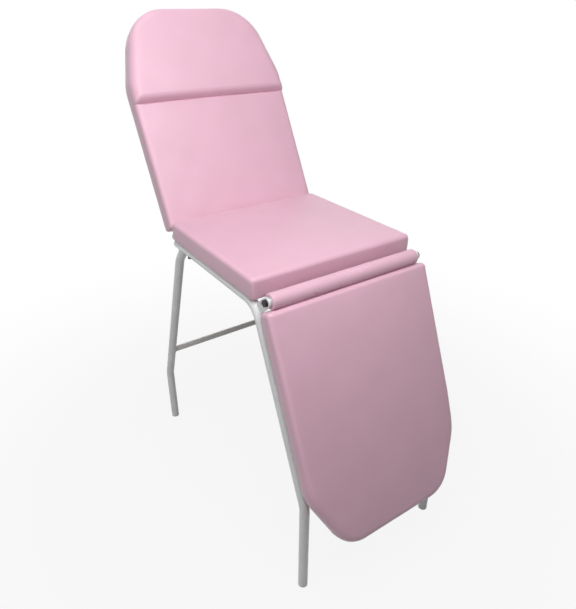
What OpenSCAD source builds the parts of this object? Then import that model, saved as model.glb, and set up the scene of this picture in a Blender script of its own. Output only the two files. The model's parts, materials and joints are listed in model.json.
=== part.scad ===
// Reclining treatment couch chair: a tube frame with four splayed legs carries a
// fixed seat pad, a backrest that leans back to flat and a leg rest that lifts to
// flat about a padded knee roller. Both hinges are toothed wheels with pawls.
// Millimetres, +Z up, the sitter faces -Y, origin on the floor under the middle.

/* [Posture] */
// Height of the seat surface above the floor
seat_height = 824; // [760:4:900]
// Rise of the backrest above level, in degrees
back_rise = 62; // [55:1:70]
// Drop of the leg rest below level, in degrees
leg_drop = 67; // [60:1:72]

/* [Pads] */
// Width of all pads
pad_width = 480; // [440:5:560]
// Length of the seat pad from front to back
seat_depth = 430; // [380:5:480]
// Thickness of the seat pad with its board
seat_thick = 52; // [46:1:70]
// Gap between the seat pad and the foot of the backrest
crease_gap = 3; // [2:0.5:8]
// Length of the backrest pad
back_length = 605; // [565:5:680]
// Length of the backrest's foot that goes down behind the seat
back_dip = 26; // [20:1:30]
// Thickness of the lower backrest pad with its board
back_thick = 51; // [44:1:60]
// Length up the backrest where the headrest starts
headrest_from = 350; // [320:5:380]
// Thickness of the headrest with the board
headrest_thick = 66; // [58:1:74]
// Gap in the seam under the headrest
seam_gap = 0.8; // [0.5:0.1:3]
// Length of the leg rest pad
leg_length = 610; // [560:5:680]
// Thickness of the leg rest pad with its board
leg_thick = 40; // [36:1:48]
// Thickness of the plywood boards
board_thick = 12; // [9:1:15]
// Thickness of the cover that wraps the board edges
wrap_thick = 3; // [2:0.5:5]
// Rounding along the edges of the flat pads
pad_edge_r = 12; // [6:1:18]
// Rounding along the edges of the headrest
headrest_edge_r = 24; // [14:1:30]
// Rounding of the square pad corners seen from above
pad_corner_r = 11; // [6:1:20]
// Rise of the middle of each pad above its edges
crown = 5; // [2:1:9]
// Length of the backrest end that is drawn in
back_taper_length = 200; // [180:5:230]
// Angle of the drawn in backrest sides, in degrees
back_taper_angle = 16; // [10:0.5:18]
// Radius of the upper backrest corners
back_end_r = 126; // [100:2:140]
// Length of the leg rest end that is drawn in
leg_taper_length = 154; // [140:2:180]
// Angle of the drawn in leg rest sides, in degrees
leg_taper_angle = 26; // [16:0.5:28]
// Radius of the lower leg rest corners
leg_end_r = 84; // [70:2:110]
// Rounding where the pad sides start to draw in
pad_side_r = 130; // [60:10:160]

/* [Frame] */
// Outer diameter of the rails and legs
tube_d = 25.4; // [22:0.2:30]
// Wall of the rails and legs
tube_wall = 1.5; // [1.2:0.1:2.5]
// Rails' middle lines, in from the pads' edges
rail_inset = 15; // [13:1:24]
// Bend radius where a rail turns down into a front leg
front_bend_r = 60; // [45:1:75]
// Bend radius above the feet
foot_bend_r = 80; // [60:2:110]
// Height above the floor where the front legs turn upright
front_foot_h = 290; // [200:5:320]
// Height above the floor where the rear legs turn upright
rear_foot_h = 195; // [150:3:240]
// Rear legs' distance ahead of the seat's rear edge, where their line meets the rail
rear_leg_in = 22; // [20:1:50]
// Lean of the rear legs from upright, in degrees
rear_leg_lean = 21; // [12:1:24]
// Extra forward lean of the rear legs at their tops, in degrees
rear_top_lean = 20; // [10:1:26]
// Drop below the rail where the rear leg tops lean over
rear_top_drop = 49; // [44:1:60]
// Bend radius at the rear leg tops
rear_top_bend_r = 100; // [70:5:130]
// Rails' end, short of the seat's rear edge
rail_short = 3; // [0:1:5]
// Outer diameter of the cross tubes and the rear stretcher
cross_d = 19; // [16:0.5:22]
// Wall of the cross tubes
cross_wall = 1.2; // [1:0.1:2]
// Front cross tube's distance behind the seat front
cross_front_y = 62; // [58:1:90]
// Rear cross tube's distance ahead of the seat's rear edge
cross_rear_in = 108; // [104:2:150]
// Height of the rear stretcher above the floor
stretcher_h = 316; // [280:3:400]
// Thickness of the flange of a foot cap
cap_flange = 4; // [3:0.5:6]
// Depth of the foot caps and rail plugs inside their tubes
cap_depth = 22; // [16:1:30]

/* [Knee roller] */
// Diameter of the padded roller
roller_d = 39; // [36:0.5:39.5]
// Roller middle's distance in front of the seat front
roller_ahead = 38; // [36:1:50]
// Roller middle's drop below the seat surface
roller_drop = 43; // [38:1:48]
// Leg rest surface's distance in front of the roller middle
leg_surface = 20; // [18:0.5:21]
// Gap between the roller and the leg rest pad
roller_gap = 1; // [1:0.5:4]
// Rounding of the roller ends
roller_end_r = 4; // [2:0.5:6]

/* [Hinges] */
// Thickness of the hinge plates, wheels and arms
plate_thick = 4; // [3:0.2:4.4]
// Side play between hinge plates
plate_play = 0.3; // [0.2:0.05:0.5]
// Running clearance of hinge bolts, on the radius
bolt_play = 0.06; // [0.03:0.01:0.1]
// Radius over the tooth tips of the wheels
wheel_r = 15.5; // [14:0.25:16]
// Height of the teeth
tooth_h = 3; // [2:0.25:3.5]
// Clicks from upright to flat
click_count = 8; // [6:1:10]
// Diameter of the leg rest hinge bolts
leg_bolt_d = 10; // [8:1:11]
// Diameter of the backrest hinge bolts
back_bolt_d = 8; // [6:1:10]
// Length of the arms up the backrest
back_arm_length = 400; // [320:10:440]
// Length of the arms down the leg rest
leg_arm_length = 410; // [340:10:440]
// Leg rest arms, in from the pads' edges
leg_arm_inset = 52; // [48:2:80]
// Width of the arms' flanges
arm_flange = 24; // [20:1:30]
// Diameter of the bar that stops the leg rest at the front legs
stop_bar_d = 16; // [14:0.5:18]

/* [Hidden] */
$fn = 64;

// Colours
vinyl_pink = "#e3b3c4";
enamel_grey = "#d3d5d6";
zinc_grey = "#aeb2b4";
bolt_black = "#221c20";
cap_white = "#e2e3e2";
plywood_tan = "#c9a878";

// Small fits and overruns
cut = 1;
bend_lap = 1;
bend_slim = 0.12;
soft_gap = 0.3;
slide_fit = 0.1;
plug_fit = 0.05;
facets_per_corner = 5;
facets_per_end = 9;
side_facets = 5;

// Tubes
half_track = pad_width / 2 - rail_inset;
tube_r = tube_d / 2;
tube_bore_r = tube_r - tube_wall;
cross_r = cross_d / 2;
cross_bore_r = cross_r - cross_wall;
rail_z = -seat_thick - tube_r;
cross_z = -seat_thick - cross_r;

// Pads
half_width = pad_width / 2;
crease_y = seat_depth + crease_gap + pad_edge_r
         + (back_dip - pad_edge_r) * cos(back_rise) - pad_edge_r * sin(back_rise);
crown_steps = [0.86, 0.62, 0.34];
edge_steps = [22.5, 45, 67.5, 90];

// Places along and across the seat
rail_end_y = seat_depth - rail_short;
rear_leg_y = seat_depth - rear_leg_in;
cross_rear_y = seat_depth - cross_rear_in;
leg_arm_x = half_width - leg_arm_inset;

// Roller and leg rest, measured from the roller middle
roller_y = -roller_ahead;
roller_z = -roller_drop;
roller_r = roller_d / 2;
leg_top = roller_r + roller_gap;
leg_back = leg_thick - leg_surface;
stop_bar_r = stop_bar_d / 2;
leg_line = leg_back + stop_bar_d + soft_gap + tube_r + soft_gap;
leg_reach = leg_top + leg_length;

// Front leg: its line runs beside the leg rest, leg_line behind the roller middle
front_corner_y = roller_y + (leg_line - (roller_z - rail_z) * cos(leg_drop)) / sin(leg_drop);
front_joint_y = front_corner_y + front_bend_r * tan(leg_drop / 2) + tube_r;
front_foot_y = front_corner_y - (seat_height + rail_z - front_foot_h) / tan(leg_drop);

// Rear leg: upright foot, leaning middle and a top that leans further under the rail
rear_foot_y = rear_leg_y + (seat_height + rail_z - rear_foot_h) * tan(rear_leg_lean);
rear_knee_y = rear_leg_y + rear_top_drop * tan(rear_leg_lean);
rear_root_y = rear_knee_y - rear_top_drop * tan(rear_leg_lean + rear_top_lean);
stretcher_y = rear_leg_y + (seat_height + rail_z - stretcher_h) * tan(rear_leg_lean);

// Backrest hinge: under the board, on the line between the seat and back surfaces, so both end level
back_hinge_drop = back_thick + soft_gap + wheel_r;
back_hinge_y = crease_y + back_hinge_drop * tan(back_rise / 2);
back_hinge_z = -back_hinge_drop;
back_foot_gap = back_hinge_drop * tan(back_rise / 2);
back_plate_x = half_track - tube_r - plate_thick;
back_arm_x = back_plate_x - plate_play - plate_thick;
leg_plate_x = half_track - plate_thick / 2;
leg_wheel_x = leg_plate_x - plate_play - plate_thick;

// Hinge details
root_r = wheel_r - tooth_h;
pawl_r = wheel_r / 3;
rivet_r = plate_thick / 2;
rivet_head_r = rivet_r * 1.8;
rivet_head_h = plate_thick / 2;
pawl_pin_reach = wheel_r + pawl_r + 2 * plate_play + plate_thick / 2;
nose_gap = plate_play;
nose_r = tooth_h / 2;
back_pawl_at = 208;
back_nose_at = 230;
leg_pawl_at = -22;
leg_nose_at = -44;
arm_web = arm_flange;
hook_r = arm_web / 3;
pawl_boss_r = pawl_r + cut;
plate_end_r = root_r - tooth_h;
cope_start = tube_r / 5;
tab_r = root_r - plate_play;

// Fasteners
seat_bolt_r = 4;
seat_bolt_head_r = 7.5;
seat_bolt_head_h = 5.5;
seat_bolt_bite = 9;
seat_bolt_rear_in = 78;
seat_bolt_front_in = 90;
seat_bolt_rear_y = seat_depth - seat_bolt_rear_in;
seat_bolt_front_x = half_width - seat_bolt_front_in;
screw_r = 2.2;
screw_head_r = 4.6;
screw_head_h = 2.6;
screw_bite = 9;
back_screw_shares = [0.12, 0.38, 0.66, 0.93];
leg_screw_shares = [0.16, 0.52, 0.92];
back_screw_x = back_arm_x - arm_flange / 2;
back_screw_run = back_arm_length - back_foot_gap;
leg_screw_x = leg_arm_x - arm_flange / 2;
leg_bolt_r = leg_bolt_d / 2;
back_bolt_r = back_bolt_d / 2;
hex_share = 0.92;
head_share = 0.64;
nut_share = 0.8;

// Front and rear ends of the whole, so that the origin lies under the middle
front_end = roller_y - (leg_surface - pad_edge_r) * sin(leg_drop)
          - (leg_reach - pad_edge_r) * cos(leg_drop) - pad_edge_r;
rear_end = crease_y + (back_length - back_dip - wrap_thick / 3) * cos(back_rise)
         + back_thick * sin(back_rise);
middle_y = (front_end + rear_end) / 2;

// Places things measured from the front edge of the seat surface
module placed() {
  translate([0, -middle_y, seat_height]) children();
}

// The same, mirrored to the chosen side: -1 is the left side
module on_side(side) {
  placed() scale_side(side) children();
}

module scale_side(side) {
  if (side < 0) mirror([1, 0, 0]) children();
  else children();
}

// Backrest frame: Y runs up the pad from the crease, Z out of its surface
module on_back() {
  placed() translate([0, crease_y, 0]) rotate([back_rise, 0, 0]) children();
}

// Leg rest frame: the roller middle is its origin, Y runs up the pad, Z out of it
module on_leg() {
  placed() translate([0, roller_y, roller_z]) rotate([leg_drop, 0, 0]) children();
}

// Raises a side outline, drawn as seen from the right, to a plate from x outwards
module side_plate(x, thick) {
  translate([x, 0, 0]) rotate([90, 0, 90]) linear_extrude(thick) children();
}

// Round bar or bore along X
module x_bar(r, from, to) {
  translate([from, 0, 0]) rotate([0, 90, 0]) cylinder(r = r, h = to - from);
}

// Directions and lengths along the corner points of a bent tube
function heading(a, b) = atan2(b[1] - a[1], b[0] - a[0]);
function reach(a, b) = norm(b - a);
function polar(r, a) = [r * cos(a), r * sin(a)];
function turn(a, b, c) =
  let (d = heading(b, c) - heading(a, b)) d > 180 ? d - 360 : d < -180 ? d + 360 : d;
function turns(points) = [for (i = [1 : len(points) - 2]) turn(points[i - 1], points[i], points[i + 1])];
function trim_at(points, radii, i) =
  i == 0 || i == len(points) - 1 ? 0
  : radii[i - 1] * tan(abs(turn(points[i - 1], points[i], points[i + 1])) / 2);
function runs(points, radii) = [for (i = [0 : len(points) - 2])
  reach(points[i], points[i + 1]) - trim_at(points, radii, i) - trim_at(points, radii, i + 1)];

// Solid rod along X that turns in the XY plane: each straight laps into its bends
module bent_rod(lengths, bends, radii, r, i = 0) {
  lap_before = i == 0 ? 0 : bend_lap;
  lap_after = i < len(bends) ? bend_lap : 0;
  translate([-lap_before, 0, 0]) rotate([0, 90, 0])
    cylinder(r = r, h = lengths[i] + lap_before + lap_after);
  if (i < len(bends)) {
    s = sign(bends[i]);
    translate([lengths[i], s * radii[i], 0]) {
      rotate([0, 0, s > 0 ? -90 : 90 + bends[i]])
        rotate_extrude(angle = abs(bends[i])) translate([radii[i], 0]) circle(r = r - bend_slim);
      rotate([0, 0, bends[i]]) translate([0, -s * radii[i], 0])
        bent_rod(lengths, bends, radii, r, i + 1);
    }
  }
}

// Bent tube along corner points in the side plane, open at both ends
module bent_tube(points, radii, r, bore_r) {
  lengths = runs(points, radii);
  last = len(lengths) - 1;
  longer = [for (i = [0 : last]) lengths[i] + (i == 0 ? cut : 0) + (i == last ? cut : 0)];
  rotate([90, 0, 90]) translate([points[0][0], points[0][1], 0])
    rotate([0, 0, heading(points[0], points[1])]) difference() {
      bent_rod(lengths, turns(points), radii, r);
      translate([-cut, 0, 0]) bent_rod(longer, turns(points), radii, bore_r);
    }
}

// Outline of a pad seen from above: square near end, drawn in and rounded far end
function pad_outline(half, long, near_r, taper, angle, end_r, inset) =
  let (
    w = half - inset,
    v0 = inset,
    v1 = long - inset,
    nr = max(near_r - inset, near_r / 3),
    sr = pad_side_r - inset,
    ease = taper > 0 ? sr * tan(angle / 2) : 0,
    taper_v = taper > 0 ? long - taper : v1 - nr,
    side_v = taper_v - ease - v0 - nr,
    er = taper > 0 ? end_r - inset : nr,
    arc_v = v1 - er * (1 - sin(angle)),
    arc_w = w - (arc_v - taper_v) * tan(angle),
    mid = [arc_w - er * cos(angle), v1 - er],
    steps = taper > 0 ? facets_per_end : facets_per_corner,
    right = concat(
      [for (i = [0 : facets_per_corner])
        let (a = -90 + 90 * i / facets_per_corner) [w - nr + nr * cos(a), v0 + nr + nr * sin(a)]],
      [for (i = [1 : side_facets]) [w, v0 + nr + side_v * i / (side_facets + (taper > 0 ? 0 : 1))]],
      [for (i = [1 : taper > 0 ? side_facets : 0])
        let (a = angle * i / side_facets) [w - sr + sr * cos(a), taper_v - ease + sr * sin(a)]],
      [for (i = [0 : steps])
        let (a = angle + (90 - angle) * i / steps) [mid[0] + er * cos(a), mid[1] + er * sin(a)]]
    )
  )
  concat(right, [for (i = [len(right) - 1 : -1 : 0]) [-right[i][0], right[i][1]]]);

// Height of a pad's surface over its plan, highest in the middle
function crown_at(p, half, long, inset, rise) =
  let (
    x = min(1, abs(p[0]) / (half - inset)),
    y = min(1, abs(p[1] - long / 2) / (long / 2 - inset))
  )
  rise * (1 - x * x) * (1 - pow(y, 4));

// Upholstered pad above its board: rolled edges, slightly drawn in foot, crowned face
module pad(half, long, base, thick, edge_r, near_r, taper, angle, end_r, rise) {
  outline = function(inset) pad_outline(half, long, near_r, taper, angle, end_r, inset);
  foot_in = wrap_thick / 3;
  side_z = base + (thick - edge_r - base) / 3;
  rings = concat(
    [[for (p = outline(foot_in)) [p[0], p[1], base]]],
    [[for (p = outline(0)) [p[0], p[1], side_z]]],
    [[for (p = outline(0)) [p[0], p[1], thick - edge_r]]],
    [for (a = edge_steps) [for (p = outline(edge_r * (1 - cos(a))))
      [p[0], p[1], thick - edge_r + edge_r * sin(a) + crown_at(p, half, long, edge_r, rise)]]],
    [for (s = crown_steps) [for (q = outline(edge_r))
      let (p = [q[0] * s, long / 2 + (q[1] - long / 2) * s])
      [p[0], p[1], thick + crown_at(p, half, long, edge_r, rise)]]]
  );
  count = len(rings[0]);
  points = concat([for (ring = rings) each ring], [[0, long / 2, base], [0, long / 2, thick + rise]]);
  bottom = len(points) - 2;
  top = len(points) - 1;
  last = (len(rings) - 1) * count;
  faces = concat(
    [for (r = [0 : len(rings) - 2], i = [0 : count - 1])
      let (j = (i + 1) % count) each [
        [r * count + i, (r + 1) * count + i, (r + 1) * count + j],
        [r * count + i, (r + 1) * count + j, r * count + j]]],
    [for (i = [0 : count - 1]) [bottom, i, (i + 1) % count]],
    [for (i = [0 : count - 1]) [top, last + (i + 1) % count, last + i]]
  );
  polyhedron(points = points, faces = faces, convexity = 4);
}

// Plywood board of a pad, bored from behind for its screws or bolts
module board(half, long, near_r, taper, angle, end_r) {
  linear_extrude(board_thick)
    polygon(pad_outline(half, long, near_r, taper, angle, end_r, wrap_thick));
}

// Cover turned round the edge of a board
module wrap(half, long, near_r, taper, angle, end_r) {
  linear_extrude(board_thick) difference() {
    polygon(pad_outline(half, long, near_r, taper, angle, end_r, wrap_thick / 3));
    polygon(pad_outline(half, long, near_r, taper, angle, end_r, wrap_thick - slide_fit));
  }
}

// Hexagon head or nut along Z
module hex(r, h) {
  cylinder(r = r, h = h, $fn = 6);
}

// Wood screw along +Z: pan head below zero, shank above
module screw(grip) {
  translate([0, 0, -screw_head_h]) cylinder(r = screw_head_r, h = screw_head_h);
  cylinder(r = screw_r, h = grip + screw_bite);
}

// Wheel outline with saw teeth over the part of its rim that passes the pawl's nose.
// The steep faces look against the hand: 1 for a wheel held from turning clockwise
module wheel_outline(nose_at, pitch, hand) {
  first = nose_at - pitch + hand * pitch / 6;
  valley_r = root_r + tooth_h / 10;
  circle(r = root_r);
  polygon(concat([[0, 0]], [for (i = [0 : click_count + 1]) let (a = first + i * pitch) each [
    polar(hand > 0 ? wheel_r : valley_r, a),
    polar(hand > 0 ? valley_r : wheel_r, a + pitch)
  ]]));
}

// Pawl outline in the wheel's frame: an eye about its pin and a nose just clear of the teeth
module pawl_outline(pin_at, nose_at) {
  nose_reach = wheel_r + nose_gap + nose_r;
  difference() {
    hull() {
      translate(polar(pawl_pin_reach, pin_at)) circle(r = pawl_r);
      translate(polar(nose_reach, nose_at)) circle(r = nose_r);
    }
    translate(polar(pawl_pin_reach, pin_at)) circle(r = rivet_r + slide_fit);
  }
}

module seat_rail(side) {
  color(enamel_grey) on_side(side) difference() {
    translate([half_track, front_joint_y, rail_z]) rotate([-90, 0, 0]) difference() {
      cylinder(r = tube_r, h = rail_end_y - front_joint_y);
      translate([0, 0, -cut]) cylinder(r = tube_bore_r, h = rail_end_y - front_joint_y + 2 * cut);
    }
    translate([half_track, seat_bolt_rear_y, rail_z - tube_d])
      cylinder(r = seat_bolt_r + slide_fit, h = 2 * tube_d);
  }
}

module front_leg(side) {
  path = [
    [front_joint_y, rail_z],
    [front_corner_y, rail_z],
    [front_foot_y, front_foot_h - seat_height],
    [front_foot_y, cap_flange - seat_height]
  ];
  color(enamel_grey) on_side(side) translate([half_track, 0, 0])
    bent_tube(path, [front_bend_r, foot_bend_r], tube_r, tube_bore_r);
}

module rear_leg(side) {
  path = [
    [rear_root_y + cope_start * tan(rear_leg_lean + rear_top_lean), rail_z - cope_start],
    [rear_knee_y, rail_z - rear_top_drop],
    [rear_foot_y, rear_foot_h - seat_height],
    [rear_foot_y, cap_flange - seat_height]
  ];
  color(enamel_grey) on_side(side) translate([half_track, 0, 0]) difference() {
    bent_tube(path, [rear_top_bend_r, foot_bend_r], tube_r, tube_bore_r);
    translate([0, 0, rail_z]) rotate([-90, 0, 0]) cylinder(r = tube_r, h = rail_end_y);
  }
}

// Cross tube between the two sides, its ends cut to sit on what carries them
module cross_tube(y, z) {
  placed() difference() {
    translate([0, y, z]) x_bar(cross_r, -half_track, half_track);
    translate([0, y, z]) x_bar(cross_bore_r, -half_track - cut, half_track + cut);
    for (side = [-1, 1]) scale_side(side) children();
  }
}

module seat_cross_tube(y) {
  color(enamel_grey) difference() {
    cross_tube(y, cross_z)
      translate([half_track, 0, rail_z]) rotate([-90, 0, 0]) cylinder(r = tube_r, h = rail_end_y);
    if (y == cross_front_y)
      placed() for (side = [-1, 1])
        translate([side * seat_bolt_front_x, y, cross_z - cross_d])
          cylinder(r = seat_bolt_r + slide_fit, h = 2 * cross_d);
  }
}

module rear_stretcher() {
  color(enamel_grey) cross_tube(stretcher_y, stretcher_h - seat_height)
    translate([half_track, stretcher_y, stretcher_h - seat_height])
      rotate([rear_leg_lean, 0, 0]) cylinder(r = tube_r, h = 2 * tube_d, center = true);
}

// Push-in cap along +Z from its flange: rounded flange and a ribbed stem
module tube_cap(flange) {
  rib = tube_wall / 2;
  rotate_extrude() difference() {
    union() {
      translate([0, rib]) square([tube_r, flange - rib]);
      square([tube_r - rib, flange]);
      translate([tube_r - rib, rib]) circle(r = rib);
      square([tube_bore_r - plug_fit - rib, flange + cap_depth]);
      for (i = [1 : 3])
        translate([0, flange + cap_depth * i / 4]) square([tube_bore_r - plug_fit, rib]);
    }
    translate([-tube_r, -cut]) square([tube_r, cap_depth + 2 * flange]);
  }
}

module foot_cap(side, y) {
  color(cap_white) on_side(side) translate([half_track, y, -seat_height]) tube_cap(cap_flange);
}

module rail_plug(side) {
  color(cap_white) on_side(side) translate([half_track, rail_end_y + tube_wall, rail_z])
    rotate([90, 0, 0]) tube_cap(tube_wall);
}

module seat_board() {
  color(plywood_tan) placed() difference() {
    translate([0, 0, -seat_thick]) board(half_width, seat_depth, pad_corner_r, 0, 0, 0);
    for (side = [-1, 1]) {
      translate([side * half_track, seat_bolt_rear_y, -seat_thick - cut])
        cylinder(r = seat_bolt_r + slide_fit, h = seat_bolt_bite + slide_fit + cut);
      translate([side * seat_bolt_front_x, cross_front_y, -seat_thick - cut])
        cylinder(r = seat_bolt_r + slide_fit, h = seat_bolt_bite + slide_fit + cut);
    }
  }
}

module seat_cover_wrap() {
  color(vinyl_pink) placed() translate([0, 0, -seat_thick])
    wrap(half_width, seat_depth, pad_corner_r, 0, 0, 0);
}

module seat_cushion() {
  color(vinyl_pink) placed() translate([0, 0, -seat_thick])
    pad(half_width, seat_depth, board_thick, seat_thick, pad_edge_r, pad_corner_r, 0, 0, 0, crown);
}

// Hexagon bolts up through the rails and the front cross tube into the seat board
module seat_bolts() {
  color(bolt_black) placed() for (side = [-1, 1]) {
    translate([side * half_track, seat_bolt_rear_y, rail_z - tube_r]) {
      translate([0, 0, -seat_bolt_head_h]) hex(seat_bolt_head_r, seat_bolt_head_h);
      cylinder(r = seat_bolt_r, h = tube_d + seat_bolt_bite);
    }
    translate([side * seat_bolt_front_x, cross_front_y, cross_z - cross_r]) {
      translate([0, 0, -seat_bolt_head_h]) hex(seat_bolt_head_r, seat_bolt_head_h);
      cylinder(r = seat_bolt_r, h = cross_d + seat_bolt_bite);
    }
  }
}

// Tab welded on the front of the bend, out to the roller middle, cut to sit on the tube
module leg_hinge_plate(side) {
  bend_mid = [front_corner_y + front_bend_r * tan(leg_drop / 2), rail_z - front_bend_r];
  toward = heading(bend_mid, [roller_y, roller_z]);
  color(enamel_grey) on_side(side) difference() {
    side_plate(leg_plate_x, plate_thick) difference() {
      hull() {
        translate([roller_y, roller_z]) circle(r = tab_r);
        translate(bend_mid) translate(polar(front_bend_r, toward)) circle(r = tab_r - tube_wall);
        translate([roller_y, roller_z]) translate(polar(pawl_pin_reach, leg_pawl_at)) circle(r = pawl_r);
      }
      translate([roller_y, roller_z]) circle(r = leg_bolt_r + bolt_play);
      translate([roller_y, roller_z]) translate(polar(pawl_pin_reach, leg_pawl_at))
        circle(r = rivet_r + slide_fit);
    }
    translate([half_track, bend_mid[0], bend_mid[1]]) rotate([90, 0, 90])
      rotate_extrude() translate([front_bend_r, 0]) circle(r = tube_r - bend_slim);
    translate([half_track - tube_d, bend_mid[0], bend_mid[1]]) rotate([90, 0, 90])
      cylinder(r = front_bend_r, h = 2 * tube_d);
  }
}

module leg_hinge_pawl(side) {
  color(zinc_grey) on_side(side) side_plate(leg_wheel_x, plate_thick)
    translate([roller_y, roller_z]) pawl_outline(leg_pawl_at, leg_nose_at);
}

// Plate on the inside of the rail end, up to the backrest hinge
module back_hinge_plate(side) {
  color(enamel_grey) on_side(side) side_plate(back_plate_x, plate_thick) difference() {
    union() {
      hull() {
        translate([back_hinge_y, back_hinge_z]) circle(r = root_r);
        translate([rail_end_y, rail_z]) circle(r = plate_end_r);
      }
      hull() {
        translate([rail_end_y, rail_z]) circle(r = plate_end_r);
        translate([rail_end_y - 2 * tube_d, rail_z]) circle(r = plate_end_r);
      }
      translate([back_hinge_y, back_hinge_z]) hull() {
        translate(polar(pawl_pin_reach, back_pawl_at)) circle(r = pawl_boss_r);
        circle(r = pawl_boss_r);
      }
    }
    translate([back_hinge_y, back_hinge_z]) {
      circle(r = back_bolt_r + bolt_play);
      translate(polar(pawl_pin_reach, back_pawl_at)) circle(r = rivet_r + slide_fit);
    }
  }
}

module back_hinge_pawl(side) {
  color(zinc_grey) on_side(side) side_plate(back_arm_x, plate_thick)
    translate([back_hinge_y, back_hinge_z]) pawl_outline(back_pawl_at, back_nose_at);
}

// Rivets that the four pawls turn on
module pawl_rivets() {
  color(zinc_grey) for (side = [-1, 1]) {
    on_side(side) translate([0, back_hinge_y, back_hinge_z]) rotate([back_pawl_at, 0, 0])
      translate([0, pawl_pin_reach, 0]) rivet(back_arm_x);
    on_side(side) translate([0, roller_y, roller_z]) rotate([leg_pawl_at, 0, 0])
      translate([0, pawl_pin_reach, 0]) rivet(leg_wheel_x);
  }
}

// Rivet through a pawl at x and the plate beside it
module rivet(x) {
  end = x + 2 * plate_thick + plate_play;
  x_bar(rivet_r, x, end);
  x_bar(rivet_head_r, x - rivet_head_h, x);
  x_bar(rivet_head_r, end, end + rivet_head_h);
}

// Toothed wheel and arm of the backrest in one plate, with a flange under the board
module back_arm(side) {
  behind = -back_thick - soft_gap;
  tail = [-back_foot_gap + root_r, behind - arm_web / 2];
  color(enamel_grey) on_side(side) difference() {
    union() {
      side_plate(back_arm_x, plate_thick) translate([back_hinge_y, back_hinge_z])
        wheel_outline(back_nose_at, back_rise / click_count, 1);
      translate([0, crease_y, 0]) rotate([back_rise, 0, 0]) {
        side_plate(back_arm_x, plate_thick) {
          hull() {
            translate([-back_foot_gap, -back_hinge_drop]) circle(r = root_r - nose_r);
            translate(tail) circle(r = arm_web / 2 - nose_r);
          }
          translate([tail[0], behind - arm_web]) square([back_arm_length, arm_web]);
        }
        translate([back_arm_x - arm_flange, tail[0] + arm_flange, behind - plate_thick])
          cube([arm_flange + plate_thick / 2, back_arm_length - arm_flange, plate_thick]);
      }
    }
    translate([0, back_hinge_y, back_hinge_z])
      x_bar(back_bolt_r + slide_fit, back_arm_x - cut, back_arm_x + plate_thick + cut);
    translate([0, crease_y, 0]) rotate([back_rise, 0, 0]) for (s = back_screw_shares)
      translate([back_screw_x, s * back_screw_run, behind - plate_thick - cut])
        cylinder(r = screw_r + slide_fit, h = plate_thick + 2 * cut);
  }
}

// Hinge bolts of the backrest, heads outwards
module back_hinge_bolts() {
  color(zinc_grey) for (side = [-1, 1]) on_side(side) translate([0, back_hinge_y, back_hinge_z]) {
    head_x = back_plate_x + plate_thick + plate_play;
    x_bar(back_bolt_r, back_arm_x - 2 * plate_thick, head_x);
    translate([head_x, 0, 0]) rotate([0, 90, 0]) hex(back_bolt_d * hex_share, back_bolt_d * head_share);
  }
}

module back_hinge_nuts() {
  color(zinc_grey) for (side = [-1, 1]) on_side(side) translate([0, back_hinge_y, back_hinge_z])
    difference() {
      translate([back_arm_x - back_bolt_d * nut_share, 0, 0]) rotate([0, 90, 0])
        hex(back_bolt_d * hex_share, back_bolt_d * nut_share);
      x_bar(back_bolt_r, back_arm_x - back_bolt_d, back_arm_x + cut);
    }
}

module back_board() {
  color(plywood_tan) on_back() translate([0, -back_dip, -back_thick]) difference() {
    board(half_width, back_length, pad_corner_r, back_taper_length, back_taper_angle, back_end_r);
    for (side = [-1, 1], s = back_screw_shares)
      translate([side * back_screw_x, back_dip + s * back_screw_run, -cut])
        cylinder(r = screw_r, h = screw_bite + cut);
  }
}

module back_cover_wrap() {
  color(vinyl_pink) on_back() translate([0, -back_dip, -back_thick])
    wrap(half_width, back_length, pad_corner_r, back_taper_length, back_taper_angle, back_end_r);
}

module back_cushion() {
  color(vinyl_pink) on_back() translate([0, -back_dip, -back_thick])
    pad(half_width, headrest_from - seam_gap, board_thick, back_thick, pad_edge_r, pad_corner_r,
        0, 0, 0, crown);
}

module headrest_cushion() {
  color(vinyl_pink) on_back() translate([0, headrest_from - back_dip, -back_thick])
    pad(half_width, back_length - headrest_from, board_thick, headrest_thick, headrest_edge_r, pad_corner_r,
        back_taper_length, back_taper_angle, back_end_r, crown);
}

module back_arm_screws() {
  behind = -back_thick - soft_gap;
  color(zinc_grey) on_back() for (side = [-1, 1], s = back_screw_shares)
    translate([side * back_screw_x, s * back_screw_run, behind - plate_thick]) screw(plate_thick + soft_gap);
}

// Tube inside the padded roller, carried by the hinge bolts at its ends
module leg_core_tube() {
  color(enamel_grey) on_leg() difference() {
    x_bar(tube_r, -leg_wheel_x, leg_wheel_x);
    x_bar(tube_bore_r, -leg_wheel_x - cut, leg_wheel_x + cut);
  }
}

// Padded sleeve of the roller, slit behind where the arms come through
module knee_roller_cover() {
  end = leg_wheel_x - plate_play;
  color(vinyl_pink) on_leg() difference() {
    rotate([0, 90, 0]) rotate_extrude() difference() {
      translate([0, -end]) square([roller_r, 2 * end]);
      translate([-cut, -end - cut]) square([tube_r + slide_fit + cut, 2 * end + 2 * cut]);
      for (m = [0, 1]) mirror([0, m]) translate([roller_r - roller_end_r, end - roller_end_r])
        difference() {
          square(roller_end_r + cut);
          circle(r = roller_end_r);
        }
    }
    for (side = [-1, 1]) scale_side(side)
      translate([leg_arm_x - soft_gap, -hook_r - soft_gap, -roller_d])
        cube([plate_thick + 2 * soft_gap, 2 * hook_r + 2 * soft_gap, roller_d]);
  }
}

module leg_wheel(side) {
  color(zinc_grey) on_side(side) side_plate(leg_wheel_x, plate_thick)
    translate([roller_y, roller_z]) difference() {
      wheel_outline(leg_nose_at, leg_drop / click_count, -1);
      circle(r = leg_bolt_r + slide_fit);
    }
}

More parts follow.
